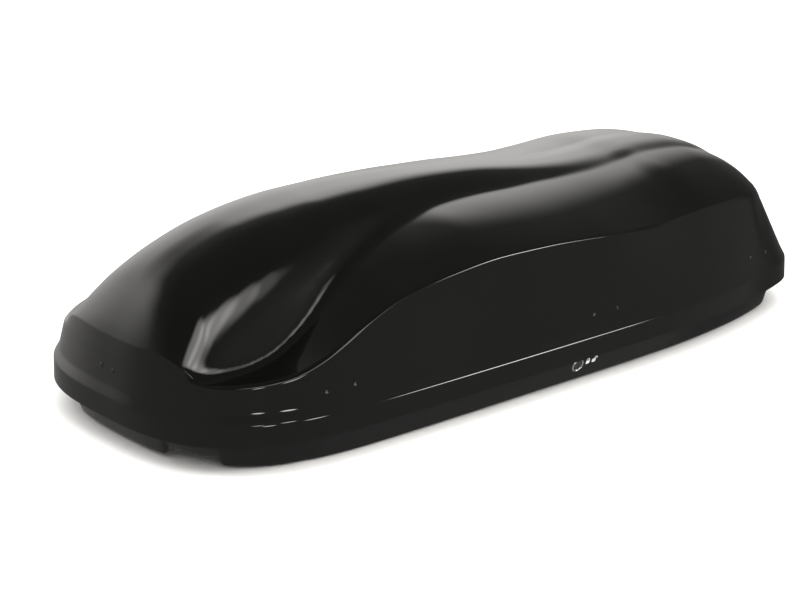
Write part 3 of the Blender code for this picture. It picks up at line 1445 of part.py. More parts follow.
def axis_empty(name, place, axis, parent=None):
    empty = bpy.data.objects.new(name, None)
    PARTS.objects.link(empty)
    matrix = Vector(axis).to_track_quat("Z", "Y").to_matrix().to_4x4()
    matrix.translation = place
    empty.matrix_world = matrix
    if parent is not None:
        hang(empty, parent)
    return empty


def hang(item, empty):
    """Parents an item to an empty and leaves it where it is."""
    item.parent = empty
    item.matrix_parent_inverse = empty.matrix_world.inverted()


def hang_moving_parts():
    lid_axis = axis_empty("lid_hinge_axis", (HINGE_PLACES[1], HINGE_Y, HINGE_Z), -ALONG)
    carried = ("lid_", "nose_locator", "hinge_lid_leaf_", "strut_lid_bracket_")
    for item in PARTS.objects:
        if item.type == "MESH" and item.name.startswith(carried):
            hang(item, lid_axis)
    seat = lock_seat()
    lock_axis = axis_empty("lock_turn_axis", seat.point, -seat.out)
    hang(bpy.data.objects["lock_barrel"], lock_axis)
    hang(bpy.data.objects["lock_cam"], lock_axis)
    slide_axis = axis_empty("lock_bar_slide_axis", (LOCK_X, BAR_Y, BAR_HEIGHT), ALONG)
    hang(bpy.data.objects["lock_bar"], slide_axis)
    for label, place in zip(("front", "rear"), STRUT_PLACES):
        pivot = on_strut(place, 0.0)
        swing_axis = axis_empty(f"strut_swing_axis_{label}", pivot, -ALONG)
        stroke_axis = axis_empty(f"strut_stroke_axis_{label}", pivot, strut_direction(), swing_axis)
        hang(bpy.data.objects[f"strut_cylinder_{label}"], swing_axis)
        hang(bpy.data.objects[f"strut_rod_{label}"], stroke_axis)


make_lid_shell()
make_tray_shell()
make_floor_rails()
make_catches()
make_nose_locator()
make_lock()
make_lock_bar()
make_bar_guides()
make_hinges()
make_struts()
hang_moving_parts()
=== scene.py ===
import functools
import json
import math

import bpy
from mathutils import Matrix, Vector


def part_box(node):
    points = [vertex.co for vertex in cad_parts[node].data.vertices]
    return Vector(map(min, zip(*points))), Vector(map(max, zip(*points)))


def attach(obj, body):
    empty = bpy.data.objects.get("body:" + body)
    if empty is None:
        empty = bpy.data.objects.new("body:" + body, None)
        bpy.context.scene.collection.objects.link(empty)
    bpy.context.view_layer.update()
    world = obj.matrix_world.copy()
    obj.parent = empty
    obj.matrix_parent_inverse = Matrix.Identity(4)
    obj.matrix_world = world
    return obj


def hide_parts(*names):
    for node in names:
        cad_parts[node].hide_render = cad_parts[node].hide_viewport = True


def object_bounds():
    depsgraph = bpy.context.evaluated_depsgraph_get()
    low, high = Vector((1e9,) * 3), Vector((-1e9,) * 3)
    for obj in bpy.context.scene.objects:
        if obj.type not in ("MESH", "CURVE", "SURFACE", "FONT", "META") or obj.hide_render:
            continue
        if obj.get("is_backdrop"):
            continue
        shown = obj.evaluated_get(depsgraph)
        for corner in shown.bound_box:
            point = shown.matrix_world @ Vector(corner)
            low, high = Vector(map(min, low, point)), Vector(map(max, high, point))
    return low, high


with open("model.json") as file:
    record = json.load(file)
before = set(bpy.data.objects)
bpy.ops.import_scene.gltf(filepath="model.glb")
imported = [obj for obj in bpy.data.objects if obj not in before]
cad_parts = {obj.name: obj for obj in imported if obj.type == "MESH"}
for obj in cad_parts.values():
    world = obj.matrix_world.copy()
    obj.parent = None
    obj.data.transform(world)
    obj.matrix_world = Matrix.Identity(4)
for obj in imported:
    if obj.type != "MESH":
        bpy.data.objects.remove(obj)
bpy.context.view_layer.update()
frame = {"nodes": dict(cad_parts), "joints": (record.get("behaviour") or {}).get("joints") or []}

# Camera: a little over six metres away, off the nose's opening side and above the roof,
# with a long lens, so the far side hardly narrows.
SENSOR_WIDTH = 36.0
FOCAL_PIXELS = 2651.6
IMAGE_PIXELS = 800.0
camera_place = Vector((-3.861, -4.543, 2.238))
camera_turn = 0.6905
camera_dip = 0.3417
camera_roll = -0.003
ahead = Vector((math.sin(camera_turn) * math.cos(camera_dip),
                math.cos(camera_turn) * math.cos(camera_dip), -math.sin(camera_dip)))
right = Vector((math.cos(camera_turn), -math.sin(camera_turn), 0.0))
above = right.cross(ahead)
rolled_right = right * math.cos(camera_roll) + above * math.sin(camera_roll)
rolled_above = above * math.cos(camera_roll) - right * math.sin(camera_roll)
camera_data = bpy.data.cameras.new("camera")
camera_data.sensor_width = SENSOR_WIDTH
camera_data.lens = SENSOR_WIDTH * FOCAL_PIXELS / IMAGE_PIXELS
camera_data.clip_end = 200.0
camera = bpy.data.objects.new("camera", camera_data)
bpy.context.scene.collection.objects.link(camera)
axes = Matrix((rolled_right, rolled_above, -ahead)).transposed().to_4x4()
camera.matrix_world = Matrix.Translation(camera_place) @ axes
bpy.context.scene.camera = camera

# Floor: a plain pale matt studio floor that the box stands on.
# The glossy shells don't mirror it, which keeps their lower edges dark.


def linear(code):
    """Linear colour from an sRGB hex code such as "1a1a1b"."""
    channels = []
    for start in (0, 2, 4):
        value = int(code[start:start + 2], 16) / 255.0
        channels.append(value / 12.92 if value <= 0.04045 else ((value + 0.055) / 1.055) ** 2.4)
    return (*channels, 1.0)


def add_node(owner, kind, settings=None, links=None):
    """Adds a node, sets its properties and sockets, and links its inputs from other sockets."""
    node = owner.node_tree.nodes.new(kind)
    for name, value in (settings or {}).items():
        if isinstance(name, int) or name in node.inputs:
            node.inputs[name].default_value = value
        else:
            setattr(node, name, value)
    for name, source in (links or {}).items():
        owner.node_tree.links.new(source, node.inputs[name])
    return node


def new_material(name):
    material = bpy.data.materials.new(name)
    material.use_nodes = True
    return material, material.node_tree.nodes["Principled BSDF"]


FLOOR_SIZE = 80.0
floor_paint, shader = new_material("studio_floor_matt_paint")
shader.inputs["Base Color"].default_value = linear("f4f3f1")
shader.inputs["Roughness"].default_value = 0.9
bpy.ops.mesh.primitive_plane_add(size=FLOOR_SIZE)
floor = bpy.context.object
floor.name = "studio_floor"
floor.data.materials.append(floor_paint)
floor.visible_glossy = False
floor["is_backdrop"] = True

# Studio light: a wide soft panel stands low behind the box and gives the roof its long gradient.
# An arc of soft lamps high behind the camera draws the streak down the hood, and small lamps
# low on the camera's side draw thin lines along the ridge and the skirt. The rest is dim.
OVERHEAD = 0.10
HORIZON = 0.17
HORIZON_FADE = (0.50, 0.85)
DARK_GAP = 0.03
PANEL = 1.50
PANEL_TOP = (0.54, 0.70)
PANEL_TOP_SLOPE = 0.06
PANEL_FADE = (-0.42, 0.42)
LAMP_CORE = 2.0

# Each sector of the room's walls: heading, angle at which it ends, angle up to which it is full
GAP_SECTOR = (78.0, 37.0, 18.0)
PANEL_RIGHT_SECTOR = (-20.0, 77.0, 61.0)
PANEL_LEFT_SECTOR = (30.0, 80.0, 44.0)
PANEL_TOP_SECTOR = (30.0, 35.0, 5.0)

# Each lamp: heading from +Y towards +X, angle above the floor, half its width, strength
HIGH_ARC = ((-152.0, 61.0, 9.0, 3.2), (-168.0, 58.0, 9.0, 3.9), (176.0, 55.0, 9.0, 3.9),
            (162.0, 51.5, 8.5, 2.4), (150.0, 48.0, 7.0, 1.1))
EDGE_LAMPS = ((135.0, 28.0, 7.5, 22.0), (141.0, -10.5, 5.5, 20.0), (165.0, -9.0, 6.0, 16.0),
              (-168.0, -9.0, 6.0, 16.0), (178.0, 19.0, 6.0, 14.0), (-160.0, 19.0, 6.0, 12.0))
world = bpy.data.worlds.new("studio_room")
world.use_nodes = True
room_light = world.node_tree.nodes["Background"]
room_light.inputs["Color"].default_value = linear("fffdfa")
bpy.context.scene.world = world
bpy.context.scene.view_settings.view_transform = "Standard"


def heading(azimuth, elevation=0.0):
    """Direction that lies an angle from +Y towards +X, and an angle above the floor."""
    turn, rise = math.radians(azimuth), math.radians(elevation)
    return math.sin(turn) * math.cos(rise), math.cos(turn) * math.cos(rise), math.sin(rise)


def smooth(source, low, high, start, end):
    """Passes softly from start to end while the source goes from low to high."""
    return add_node(world, "ShaderNodeMapRange", {
        "interpolation_type": "SMOOTHSTEP", "From Min": low, "From Max": high, "To Min": start,
        "To Max": end}, {"Value": source}).outputs["Result"]


def towards(source, middle, dark_angle, bright_angle):
    """Soft spot in the room: 1 inside the bright angle from its middle, 0 past the dark one."""
    along = add_node(world, "ShaderNodeVectorMath", {"operation": "DOT_PRODUCT", 1: middle},
                     {0: source})
    return smooth(along.outputs["Value"], math.cos(math.radians(dark_angle)),
                  math.cos(math.radians(bright_angle)), 0.0, 1.0)


def combine(operation, first, second):
    """Sum or product of two sockets, or of a socket and a number."""
    node = add_node(world, "ShaderNodeMath", {"operation": operation}, {0: first})
    if isinstance(second, float):
        node.inputs[1].default_value = second
    else:
        world.node_tree.links.new(second, node.inputs[1])
    return node.outputs["Value"]


view = add_node(world, "ShaderNodeTexCoord").outputs["Generated"]
height = add_node(world, "ShaderNodeSeparateXYZ", links={"Vector": view}).outputs["Z"]
flattened = add_node(world, "ShaderNodeVectorMath",
                     {"operation": "MULTIPLY", 1: (1.0, 1.0, 0.0)}, {0: view}).outputs["Vector"]
level = add_node(world, "ShaderNodeVectorMath", {"operation": "NORMALIZE"},
                 {0: flattened}).outputs["Vector"]


def sector(azimuth, dark_angle, bright_angle):
    """Soft upright sector of the room, the same at every height."""
    return towards(level, heading(azimuth), dark_angle, bright_angle)


horizon = smooth(sector(*GAP_SECTOR), 0.0, 1.0, HORIZON, DARK_GAP)
room = combine("MULTIPLY", horizon, smooth(height, *HORIZON_FADE, 1.0, 0.0))
room = combine("ADD", room, OVERHEAD)
top_slope = combine("MULTIPLY", sector(*PANEL_TOP_SECTOR), PANEL_TOP_SLOPE)
top_edge = smooth(combine("ADD", height, top_slope), *PANEL_TOP, 1.0, 0.0)
panel = combine("MULTIPLY", sector(*PANEL_RIGHT_SECTOR), sector(*PANEL_LEFT_SECTOR))
panel = combine("MULTIPLY", panel, top_edge)
panel = combine("MULTIPLY", panel, smooth(height, *PANEL_FADE, 0.0, PANEL))
room = combine("ADD", room, panel)
for azimuth, elevation, reach, strength in HIGH_ARC + EDGE_LAMPS:
    spot = towards(view, heading(azimuth, elevation), reach, LAMP_CORE)
    room = combine("ADD", room, combine("MULTIPLY", spot, strength))
world.node_tree.links.new(room, room_light.inputs["Strength"])

# A large lamp overhead, which nothing mirrors, lights the floor and the parts' own colours
BANK_POWER = 4200.0
BANK_SIZE = 24.0
BANK_HEIGHT = 8.0
lamp_data = bpy.data.lights.new("overhead_bank", "AREA")
lamp_data.size = BANK_SIZE
lamp_data.energy = BANK_POWER
lamp = bpy.data.objects.new("overhead_bank", lamp_data)
lamp.location = (0.0, 0.0, BANK_HEIGHT)
lamp.visible_glossy = False
bpy.context.scene.collection.objects.link(lamp)

# Lid: one sheet of glossy black ABS, vacuum-formed over a mould. It has an upright skirt, a
# sloping ledge, a leaning wall, a narrow ridge, and a hood that sinks into two front scoops.
LENGTH = 1.900
WIDTH = 0.854
LID_HEIGHT = 0.400
LID_BOTTOM = 0.068
SHELL_WALL = 0.003
NOSE_X = -LENGTH / 2
TAIL_X = LENGTH / 2
HALF_WIDTH = WIDTH / 2
NOSE_LENGTH = 0.556
NOSE_TIP_POWER = 3.78
NOSE_SIDE_POWER = 2.92
TAIL_LENGTH = 0.130
TAIL_TIP_POWER = 2.67
TAIL_SIDE_POWER = 4.10
WIDEST_X = TAIL_X - 0.720
NOSE_BOW = 0.043
TAIL_BOW = 0.300
BOW_POWER = 2.5
NOSE_SLIDE_START = NOSE_X + NOSE_LENGTH
TAIL_SLIDE_START = TAIL_X - 0.160
TAIL_SLIDE_END = TAIL_X - 0.050
TAIL_STEP = 0.012
TAIL_STEP_REACH = 0.008
TAIL_EXTRA_LEAN = 0.20
SKIRT_HEIGHT = 0.049
SKIRT_TAPER = 0.001
WALL_START_INSET = 0.012
WALL_START_HEIGHT = 0.072
WALL_LEAN_FRONT = 12.0
WALL_LEAN_REAR = 19.0
LEAN_CHANGE_START = TAIL_X - 0.750
LEAN_CHANGE_END = TAIL_X - 0.450
LIP_HEIGHT = 0.128
RIDGE_HEIGHT = 0.283
RIDGE_STEP_FRONT = 0.004
RIDGE_STEP_REAR = 0.011
RIDGE_WIDTH = 0.008
ROOF_BLEND = 0.028
HOOD_POWER = 3.0
SHOULDER_RISE = 0.080
SHOULDER_POWER_FRONT = 2.5
SHOULDER_POWER_REAR = 3.2
SHOULDER_CHANGE_START = TAIL_X - 0.650
SHOULDER_CHANGE_END = TAIL_X - 0.350
SPINE_FRONT = NOSE_X + 0.320
SPINE_REAR = TAIL_X - 0.175
SPINE_FRONT_BEND = NOSE_X + 0.550
SPINE_REAR_BEND = TAIL_X - 0.290
SMOOTH_ANGLE = math.radians(40.0)

# Layout of the lid's mesh, from the nose's middle round to the tail's and up to the roof
NOSE_END = NOSE_X + 0.238
SIDE_START = NOSE_END + 0.012
SIDE_END = TAIL_X - 0.057
NOSE_COLUMNS = 64
SIDE_COLUMNS = 96
TAIL_COLUMNS = 44
ROOF_ROWS = 44
ROOF_ROW_POWER = 1.25
FOLD_REACHES = (0.0025, 0.0040, 0.0035, 0.0030)
FOLD_STEPS = 4

# Each line lists (share of the length behind the nose, share of the full value)
RIDGE_LINE = (
    (0.010, 0.12), (0.026, 0.06), (0.053, 0.00), (0.089, 0.02), (0.129, 0.08), (0.163, 0.20),
    (0.200, 0.39), (0.237, 0.60), (0.290, 0.81), (0.363, 0.94), (0.437, 1.00), (0.505, 0.98),
    (0.605, 0.89), (0.660, 0.82), (0.732, 0.76), (0.800, 0.76), (0.890, 0.73), (0.974, 0.70),
)
CROWN_LINE = (
    (0.010, 0.00), (0.026, 0.20), (0.053, 0.43), (0.079, 0.59), (0.132, 0.78), (0.184, 0.90),
    (0.237, 0.965), (0.290, 0.995), (0.342, 1.00), (0.395, 0.99), (0.447, 0.965), (0.500, 0.925),
    (0.553, 0.875), (0.605, 0.81), (0.658, 0.745), (0.711, 0.70), (0.763, 0.685), (0.816, 0.71),
    (0.868, 0.685), (0.911, 0.62), (0.937, 0.54), (0.958, 0.41), (0.985, 0.34),
)
HOOD_WIDTH_LINE = (
    (0.010, 0.55), (0.079, 0.615), (0.158, 0.645), (0.237, 0.645), (0.342, 0.59), (0.447, 0.48),
    (0.553, 0.42), (0.658, 0.40), (0.990, 0.40),
)
SHOULDER_LINE = (
    (0.105, 0.00), (0.184, 0.18), (0.237, 0.40), (0.290, 0.60), (0.368, 0.77), (0.447, 0.79),
    (0.553, 0.75), (0.632, 0.80), (0.711, 0.87), (0.763, 0.90), (0.816, 0.99), (0.868, 0.95),
    (0.911, 0.75), (0.937, 0.51), (0.958, 0.12), (0.985, 0.00),
)


def mix(low, high, share):
    return low + (high - low) * share


def share_between(low, high, value):
    return min(1.0, max(0.0, (value - low) / (high - low)))


def ease(low, high, value):
    """Rises from 0 to 1 with a soft start and end."""
    share = share_between(low, high, value)
    return share * share * (3.0 - 2.0 * share)


@functools.lru_cache(maxsize=None)
def line_slopes(stations):
    """Slopes that carry a smooth curve through the stations without overshoot."""
    steps = [(b[0] - a[0], (b[1] - a[1]) / (b[0] - a[0])) for a, b in zip(stations, stations[1:])]
    slopes = [steps[0][1]]
    for (width, rise), (next_width, next_rise) in zip(steps, steps[1:]):
        if rise * next_rise <= 0.0:
            slopes.append(0.0)
            continue
        first = 2.0 * next_width + width
        second = next_width + 2.0 * width
        slopes.append((first + second) / (first / rise + second / next_rise))
    slopes.append(steps[-1][1])
    return slopes


def on_line(stations, x):
    """Smooth value of a line at the place x along the box."""
    share = min(stations[-1][0], max(stations[0][0], (x + TAIL_X) / LENGTH))
    index = 0
    while index < len(stations) - 2 and stations[index + 1][0] < share:
        index += 1
    slopes = line_slopes(stations)
    (start, low), (end, high) = stations[index], stations[index + 1]
    width = end - start
    t = (share - start) / width
    value = low * (1.0 + 2.0 * t) * (1.0 - t) ** 2 + high * t * t * (3.0 - 2.0 * t)
    value += width * slopes[index] * t * (1.0 - t) ** 2
    value += width * slopes[index + 1] * t * t * (t - 1.0)
    return value


def bowed_side(x, inset):
    """Half the width of the bowed side lines at x, before the ends round them off."""
    if x > WIDEST_X:
        bow = TAIL_BOW * ((x - WIDEST_X) / (TAIL_X - WIDEST_X)) ** BOW_POWER
    else:
        bow = NOSE_BOW * ((WIDEST_X - x) / (TAIL_X + WIDEST_X)) ** BOW_POWER
    return (HALF_WIDTH - inset) * (1.0 - bow)


def half_width(x, inset, tail_inset):
    """Half the width of the outline at x, moved in by inset, and by tail_inset at the tail."""
    nose = (NOSE_X + inset + NOSE_LENGTH - x) / NOSE_LENGTH
    tail = (x - TAIL_X + tail_inset + TAIL_LENGTH) / TAIL_LENGTH
    width = bowed_side(x, inset)
    if nose > 0.0:
        width *= max(0.0, 1.0 - nose ** NOSE_TIP_POWER) ** (1.0 / NOSE_SIDE_POWER)
    if tail > 0.0:
        width *= max(0.0, 1.0 - tail ** TAIL_TIP_POWER) ** (1.0 / TAIL_SIDE_POWER)
    return width


def slid_x(x, inset, tail_inset):
    """Place of a side column. The columns near the ends move in with them."""
    return x + inset * share_between(NOSE_SLIDE_START, NOSE_X, x) \
        - tail_inset * share_between(TAIL_SLIDE_START, TAIL_SLIDE_END, x)


def outline_point(column, inset, tail_inset):
    """Point of the outline on the opening side, for a column on the nose, a side or the tail."""
    kind, value = column
    if kind == "side":
        x = slid_x(value, inset, tail_inset)
        return x, -half_width(x, inset, tail_inset)
    if kind == "nose":
        x = NOSE_X + inset + NOSE_LENGTH * (1.0 - math.cos(value) ** (2.0 / NOSE_TIP_POWER))
        return x, -bowed_side(x, inset) * math.sin(value) ** (2.0 / NOSE_SIDE_POWER)
    x = TAIL_X - tail_inset - TAIL_LENGTH * (1.0 - math.cos(value) ** (2.0 / TAIL_TIP_POWER))
    return x, -bowed_side(x, inset) * math.sin(value) ** (2.0 / TAIL_SIDE_POWER)


def end_angle(kind, inset, reached):
    """Angle on a rounded end at which the test `reached` first holds for the outline point."""
    low, high = 0.0, math.pi / 2
    for _ in range(40):
        middle = (low + high) / 2
        if reached(*outline_point((kind, middle), inset, inset)):
            high = middle
        else:
            low = middle
    return (low + high) / 2


def even_angles(kind, last, count):
    """Angles from the middle of an end out to `last`, with points about the same distance apart."""
    fine = 1500
    angles = [last * index / fine for index in range(fine + 1)]
    points = [outline_point((kind, angle), 0.0, 0.0) for angle in angles]
    lengths = [0.0]
    for start, end in zip(points, points[1:]):
        lengths.append(lengths[-1] + math.dist(start, end))
    chosen = []
    place = 0
    for index in range(count):
        while lengths[place] < lengths[-1] * index / count:
            place += 1
        chosen.append(angles[place])
    return chosen


def outline_columns():
    """Columns round the opening half, from the nose's middle to the tail's."""
    last_nose = end_angle("nose", 0.0, lambda x, y: x > NOSE_END)
    last_tail = end_angle("tail", 0.0, lambda x, y: x < TAIL_SLIDE_END)
    nose = even_angles("nose", last_nose, NOSE_COLUMNS)
    tail = even_angles("tail", last_tail, TAIL_COLUMNS)
    side = [mix(SIDE_START, SIDE_END, index / (SIDE_COLUMNS - 1)) for index in range(SIDE_COLUMNS)]
    return [("nose", angle) for angle in nose] + [("side", x) for x in side] \
        + [("tail", angle) for angle in reversed(tail)]


def tail_inset_of(inset):
    """The tail wall stands further in than the sides do."""
    return inset + TAIL_EXTRA_LEAN * inset \
        + TAIL_STEP * ease(WALL_START_INSET, WALL_START_INSET + TAIL_STEP_REACH, inset)


def lid_inset(x, height):
    """How far the lid's outer face lies inside the outline at a height."""
    if height <= SKIRT_HEIGHT:
        return SKIRT_TAPER * height / SKIRT_HEIGHT
    if height <= WALL_START_HEIGHT:
        share = (height - SKIRT_HEIGHT) / (WALL_START_HEIGHT - SKIRT_HEIGHT)
        return mix(SKIRT_TAPER, WALL_START_INSET, share)
    lean = mix(WALL_LEAN_FRONT, WALL_LEAN_REAR, ease(LEAN_CHANGE_START, LEAN_CHANGE_END, x))
    return WALL_START_INSET + (height - WALL_START_HEIGHT) * math.tan(math.radians(lean))


def ridge_height(x):
    return mix(LIP_HEIGHT, RIDGE_HEIGHT, on_line(RIDGE_LINE, x))


def ridge_step(x):
    """Height of the small step from the wall's top up to the ridge."""
    return mix(RIDGE_STEP_FRONT, RIDGE_STEP_REAR, ease(LEAN_CHANGE_START, LEAN_CHANGE_END, x))


def ridge_inset(x):
    return lid_inset(x, ridge_height(x) - ridge_step(x)) + RIDGE_WIDTH


def roof_height(x, y):
    """The hood and the shoulders, joined by a soft valley."""
    inset = ridge_inset(x)
    reach = half_width(x, inset, tail_inset_of(inset))
    along = min(1.0, abs(y) / reach) if reach > 0.0 else 1.0
    change = ease(SHOULDER_CHANGE_START, SHOULDER_CHANGE_END, x)
    power = mix(SHOULDER_POWER_FRONT, SHOULDER_POWER_REAR, change)
    shoulder = ridge_height(x) + SHOULDER_RISE * on_line(SHOULDER_LINE, x) * (1.0 - along ** power)
    crown = mix(ridge_height(NOSE_X), LID_HEIGHT, on_line(CROWN_LINE, x))
    hood_reach = HALF_WIDTH * on_line(HOOD_WIDTH_LINE, x)
    hood = LIP_HEIGHT + (crown - LIP_HEIGHT) * (1.0 - (abs(y) / hood_reach) ** HOOD_POWER)
    share = min(1.0, max(0.0, 0.5 + 0.5 * (hood - shoulder) / ROOF_BLEND))
    return mix(shoulder, hood, share) + ROOF_BLEND * share * (1.0 - share)


def spine_x(x):
    """Place on the roof's middle line that a point of the ridge is joined to."""
    if x < SPINE_FRONT_BEND:
        return mix(SPINE_FRONT_BEND, SPINE_FRONT, (SPINE_FRONT_BEND - x) / (SPINE_FRONT_BEND + TAIL_X))
    if x > SPINE_REAR_BEND:
        return mix(SPINE_REAR_BEND, SPINE_REAR, (x - SPINE_REAR_BEND) / (TAIL_X - SPINE_REAR_BEND))
    return x


def rounded(points, radii, steps):
    """A chain of points whose inner corners are replaced by small curves."""
    chain = [points[0]]
    for before, corner, after, radius in zip(points, points[1:], points[2:], radii):
        if radius == 0.0:
            chain.append(corner)
            continue
        reach_in = min(radius, (corner - before).length * 0.45)
        reach_out = min(radius, (after - corner).length * 0.45)
        start = corner + (before - corner).normalized() * reach_in
        end = corner + (after - corner).normalized() * reach_out
        for step in range(steps + 1):
            t = step / steps
            chain.append(start * (1 - t) ** 2 + corner * 2 * t * (1 - t) + end * t * t)
    chain.append(points[-1])
    return chain


def split(chain, index, count):
    """Divides one stretch of a chain evenly."""
    low, high = chain[index], chain[index + 1]
    inner = [low.lerp(high, step / count) for step in range(1, count)]
    return chain[:index + 1] + inner + chain[index + 1:]


def lid_section(column, ridge_point, spine):
    """Points from the lid's lower edge up the skirt, ledge and wall, then over the roof."""
    x_guess = outline_point(column, WALL_START_INSET, WALL_START_INSET)[0]
    top = ridge_height(x_guess) - ridge_step(x_guess)
    corners = []
    for height in (0.0, SKIRT_HEIGHT, WALL_START_HEIGHT, top):
        inset = lid_inset(x_guess, height)
        x, y = outline_point(column, inset, tail_inset_of(inset))
        corners.append(Vector((x, y, LID_BOTTOM + height)))
    x, y = ridge_point
    roof = []
    for index in range(ROOF_ROWS + 1):
        share = (index / ROOF_ROWS) ** ROOF_ROW_POWER
        x_here = mix(x, spine, share)
        y_here = mix(y, 0.0, share)
        roof.append(Vector((x_here, y_here, LID_BOTTOM + roof_height(x_here, y_here))))
    chain = rounded(corners + roof[:2], FOLD_REACHES, FOLD_STEPS)
    for index, count in ((15, 2), (10, 7), (5, 3), (0, 4)):
        chain = split(chain, index, count)
    return chain[:-1] + roof[1:]


def shaped_grid(name, columns):
    """A flat grid brought to the shape given by its columns of points."""
    bpy.ops.object.select_all(action="DESELECT")
    rows = len(columns[0])
    bpy.ops.mesh.primitive_grid_add(x_subdivisions=len(columns) - 1, y_subdivisions=rows - 1,
                                    size=2.0)
    item = bpy.context.object
    item.name = name
    for vertex in item.data.vertices:
        column = round((vertex.co.x + 1.0) / 2.0 * (len(columns) - 1))
        row = round((vertex.co.y + 1.0) / 2.0 * (rows - 1))
        vertex.co = columns[column][row]
    item.data.update()
    return item


def mirror_and_thicken(item, thickness):
    """Adds the far half and the sheet's thickness, and welds the middle seam."""
    mirror = item.modifiers.new("far half", "MIRROR")
    mirror.use_axis = (False, True, False)
    mirror.use_clip = True
    mirror.merge_threshold = 0.00005
    bpy.ops.object.modifier_apply(modifier=mirror.name)
    wall = item.modifiers.new("sheet", "SOLIDIFY")
    wall.thickness = thickness
    wall.offset = -1.0
    wall.use_even_offset = True
    bpy.ops.object.modifier_apply(modifier=wall.name)


columns = outline_columns()
ridge = []
for column in columns:
    inset = ridge_inset(outline_point(column, WALL_START_INSET, WALL_START_INSET)[0])
    ridge.append(outline_point(column, inset, tail_inset_of(inset)))
spines = [spine_x(x) for x, y in ridge]
first_side = sum(1 for kind, value in columns if kind == "nose")
last_side = sum(1 for kind, value in columns if kind != "tail") - 1
for index in range(first_side):
    spines[index] = mix(SPINE_FRONT, spines[first_side], index / first_side)
for index in range(last_side + 1, len(columns)):
    spines[index] = mix(spines[last_side], SPINE_REAR,
                        (index - last_side) / (len(columns) - 1 - last_side))
lid = shaped_grid("lid_skin", [lid_section(column, ridge_point, spine)
                               for column, ridge_point, spine in zip(columns, ridge, spines)])
mirror_and_thicken(lid, SHELL_WALL)
bpy.ops.object.shade_smooth_by_angle(angle=SMOOTH_ANGLE)


def moulded_plastic(name, dark, light, sheen_low, sheen_high, ripple_mm, grain_mm, grain_depth):
    """Black plastic skin: a slight cloud in tone and gloss, a long ripple and a fine grain."""
    material, skin = new_material(name)
    place = add_node(material, "ShaderNodeTexCoord").outputs["Object"]
    cloud = add_node(material, "ShaderNodeTexNoise", {"Scale": 4.0, "Detail": 5.0},
                     {"Vector": place}).outputs["Fac"]
    ripple = add_node(material, "ShaderNodeTexNoise", {"Scale": 1000.0 / ripple_mm, "Detail": 1.0},
                      {"Vector": place}).outputs["Fac"]
    grain = add_node(material, "ShaderNodeTexNoise", {"Scale": 1000.0 / grain_mm, "Detail": 2.0},
                     {"Vector": place}).outputs["Fac"]
    tone = add_node(material, "ShaderNodeMix", {"data_type": "RGBA", 6: linear(dark),
                                                7: linear(light)}, {"Factor": cloud})
    gloss = add_node(material, "ShaderNodeMapRange", {"From Min": 0.3, "From Max": 0.7,
                                                      "To Min": sheen_low, "To Max": sheen_high},
                     {"Value": cloud})
    wave = add_node(material, "ShaderNodeBump", {"Strength": 0.05, "Distance": 0.004},
                    {"Height": ripple})
    bump = add_node(material, "ShaderNodeBump", {"Strength": 0.25, "Distance": grain_depth / 1000.0},
                    {"Height": grain, "Normal": wave.outputs["Normal"]})
    material.node_tree.links.new(tone.outputs[2], skin.inputs["Base Color"])
    material.node_tree.links.new(gloss.outputs["Result"], skin.inputs["Roughness"])
    material.node_tree.links.new(bump.outputs["Normal"], skin.inputs["Normal"])
    skin.inputs["IOR"].default_value = 1.53
    return material


# Gloss black ABS, vacuum-formed: it mirrors the room almost cleanly, with a long faint ripple
# from the mould, a fine grain, and wide patches where the gloss is a little duller
glossy_abs = moulded_plastic("vacuum_formed_gloss_black_abs", "040404", "080807", 0.045, 0.085,
                             140.0, 3.0, 0.010)
lid.data.materials.append(glossy_abs)
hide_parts("lid_shell")
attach(lid, "lid")

# Tray: the lower shell, vacuum-formed from the same ABS. Its rim stands inside the lid's
# skirt, its wall leans in to the floor, and two channels for the roof bars run underneath.
RIM_INSET = 0.007
RIM_TOP = LID_BOTTOM + 0.033
TRAY_WALL_INSET = 0.021
TRAY_FOOT_INSET = 0.040
FLOOR_EDGE_INSET = 0.060
CHANNEL_DEPTH = 0.018
CHANNEL_SLOPE = 0.015
CHANNEL_INNER = 0.150
CHANNEL_OUTER = 0.270
KEEL_LINE = 0.080
SIDE_RUNNER_LINE = HALF_WIDTH - 0.097
FLAT_FRONT = NOSE_X + 0.290
FLAT_REAR = TAIL_X - 0.320
NOSE_RISE = 0.020
TAIL_RISE = 0.016
EDGE_RISE_FRONT = 0.004
EDGE_RISE_REAR = 0.016
TAIL_SQUEEZE = 0.78
SQUEEZE_START = TAIL_X - 0.350
SQUEEZE_END = TAIL_X - 0.100
FLOOR_START = NOSE_X + 0.288
FLOOR_END = TAIL_X - 0.150
FLOOR_STEPS = 86
STEPS_TO_A_LINE = 5
TRAY_FOLD_REACHES = (0.0020, 0.0020, 0.0015, 0.0035, 0.0030)
WELD_DISTANCE = 0.00002
FLOOR_LINES = (0.0, KEEL_LINE, CHANNEL_INNER, CHANNEL_INNER + CHANNEL_SLOPE,
               CHANNEL_OUTER - CHANNEL_SLOPE, CHANNEL_OUTER, SIDE_RUNNER_LINE)


def edge_rise(x):
    return mix(EDGE_RISE_FRONT, EDGE_RISE_REAR, ease(FLAT_FRONT, TAIL_X, x))


def squeeze_at(x):
    """The channels draw together towards the tail."""
    return mix(1.0, TAIL_SQUEEZE, ease(SQUEEZE_START, SQUEEZE_END, x))


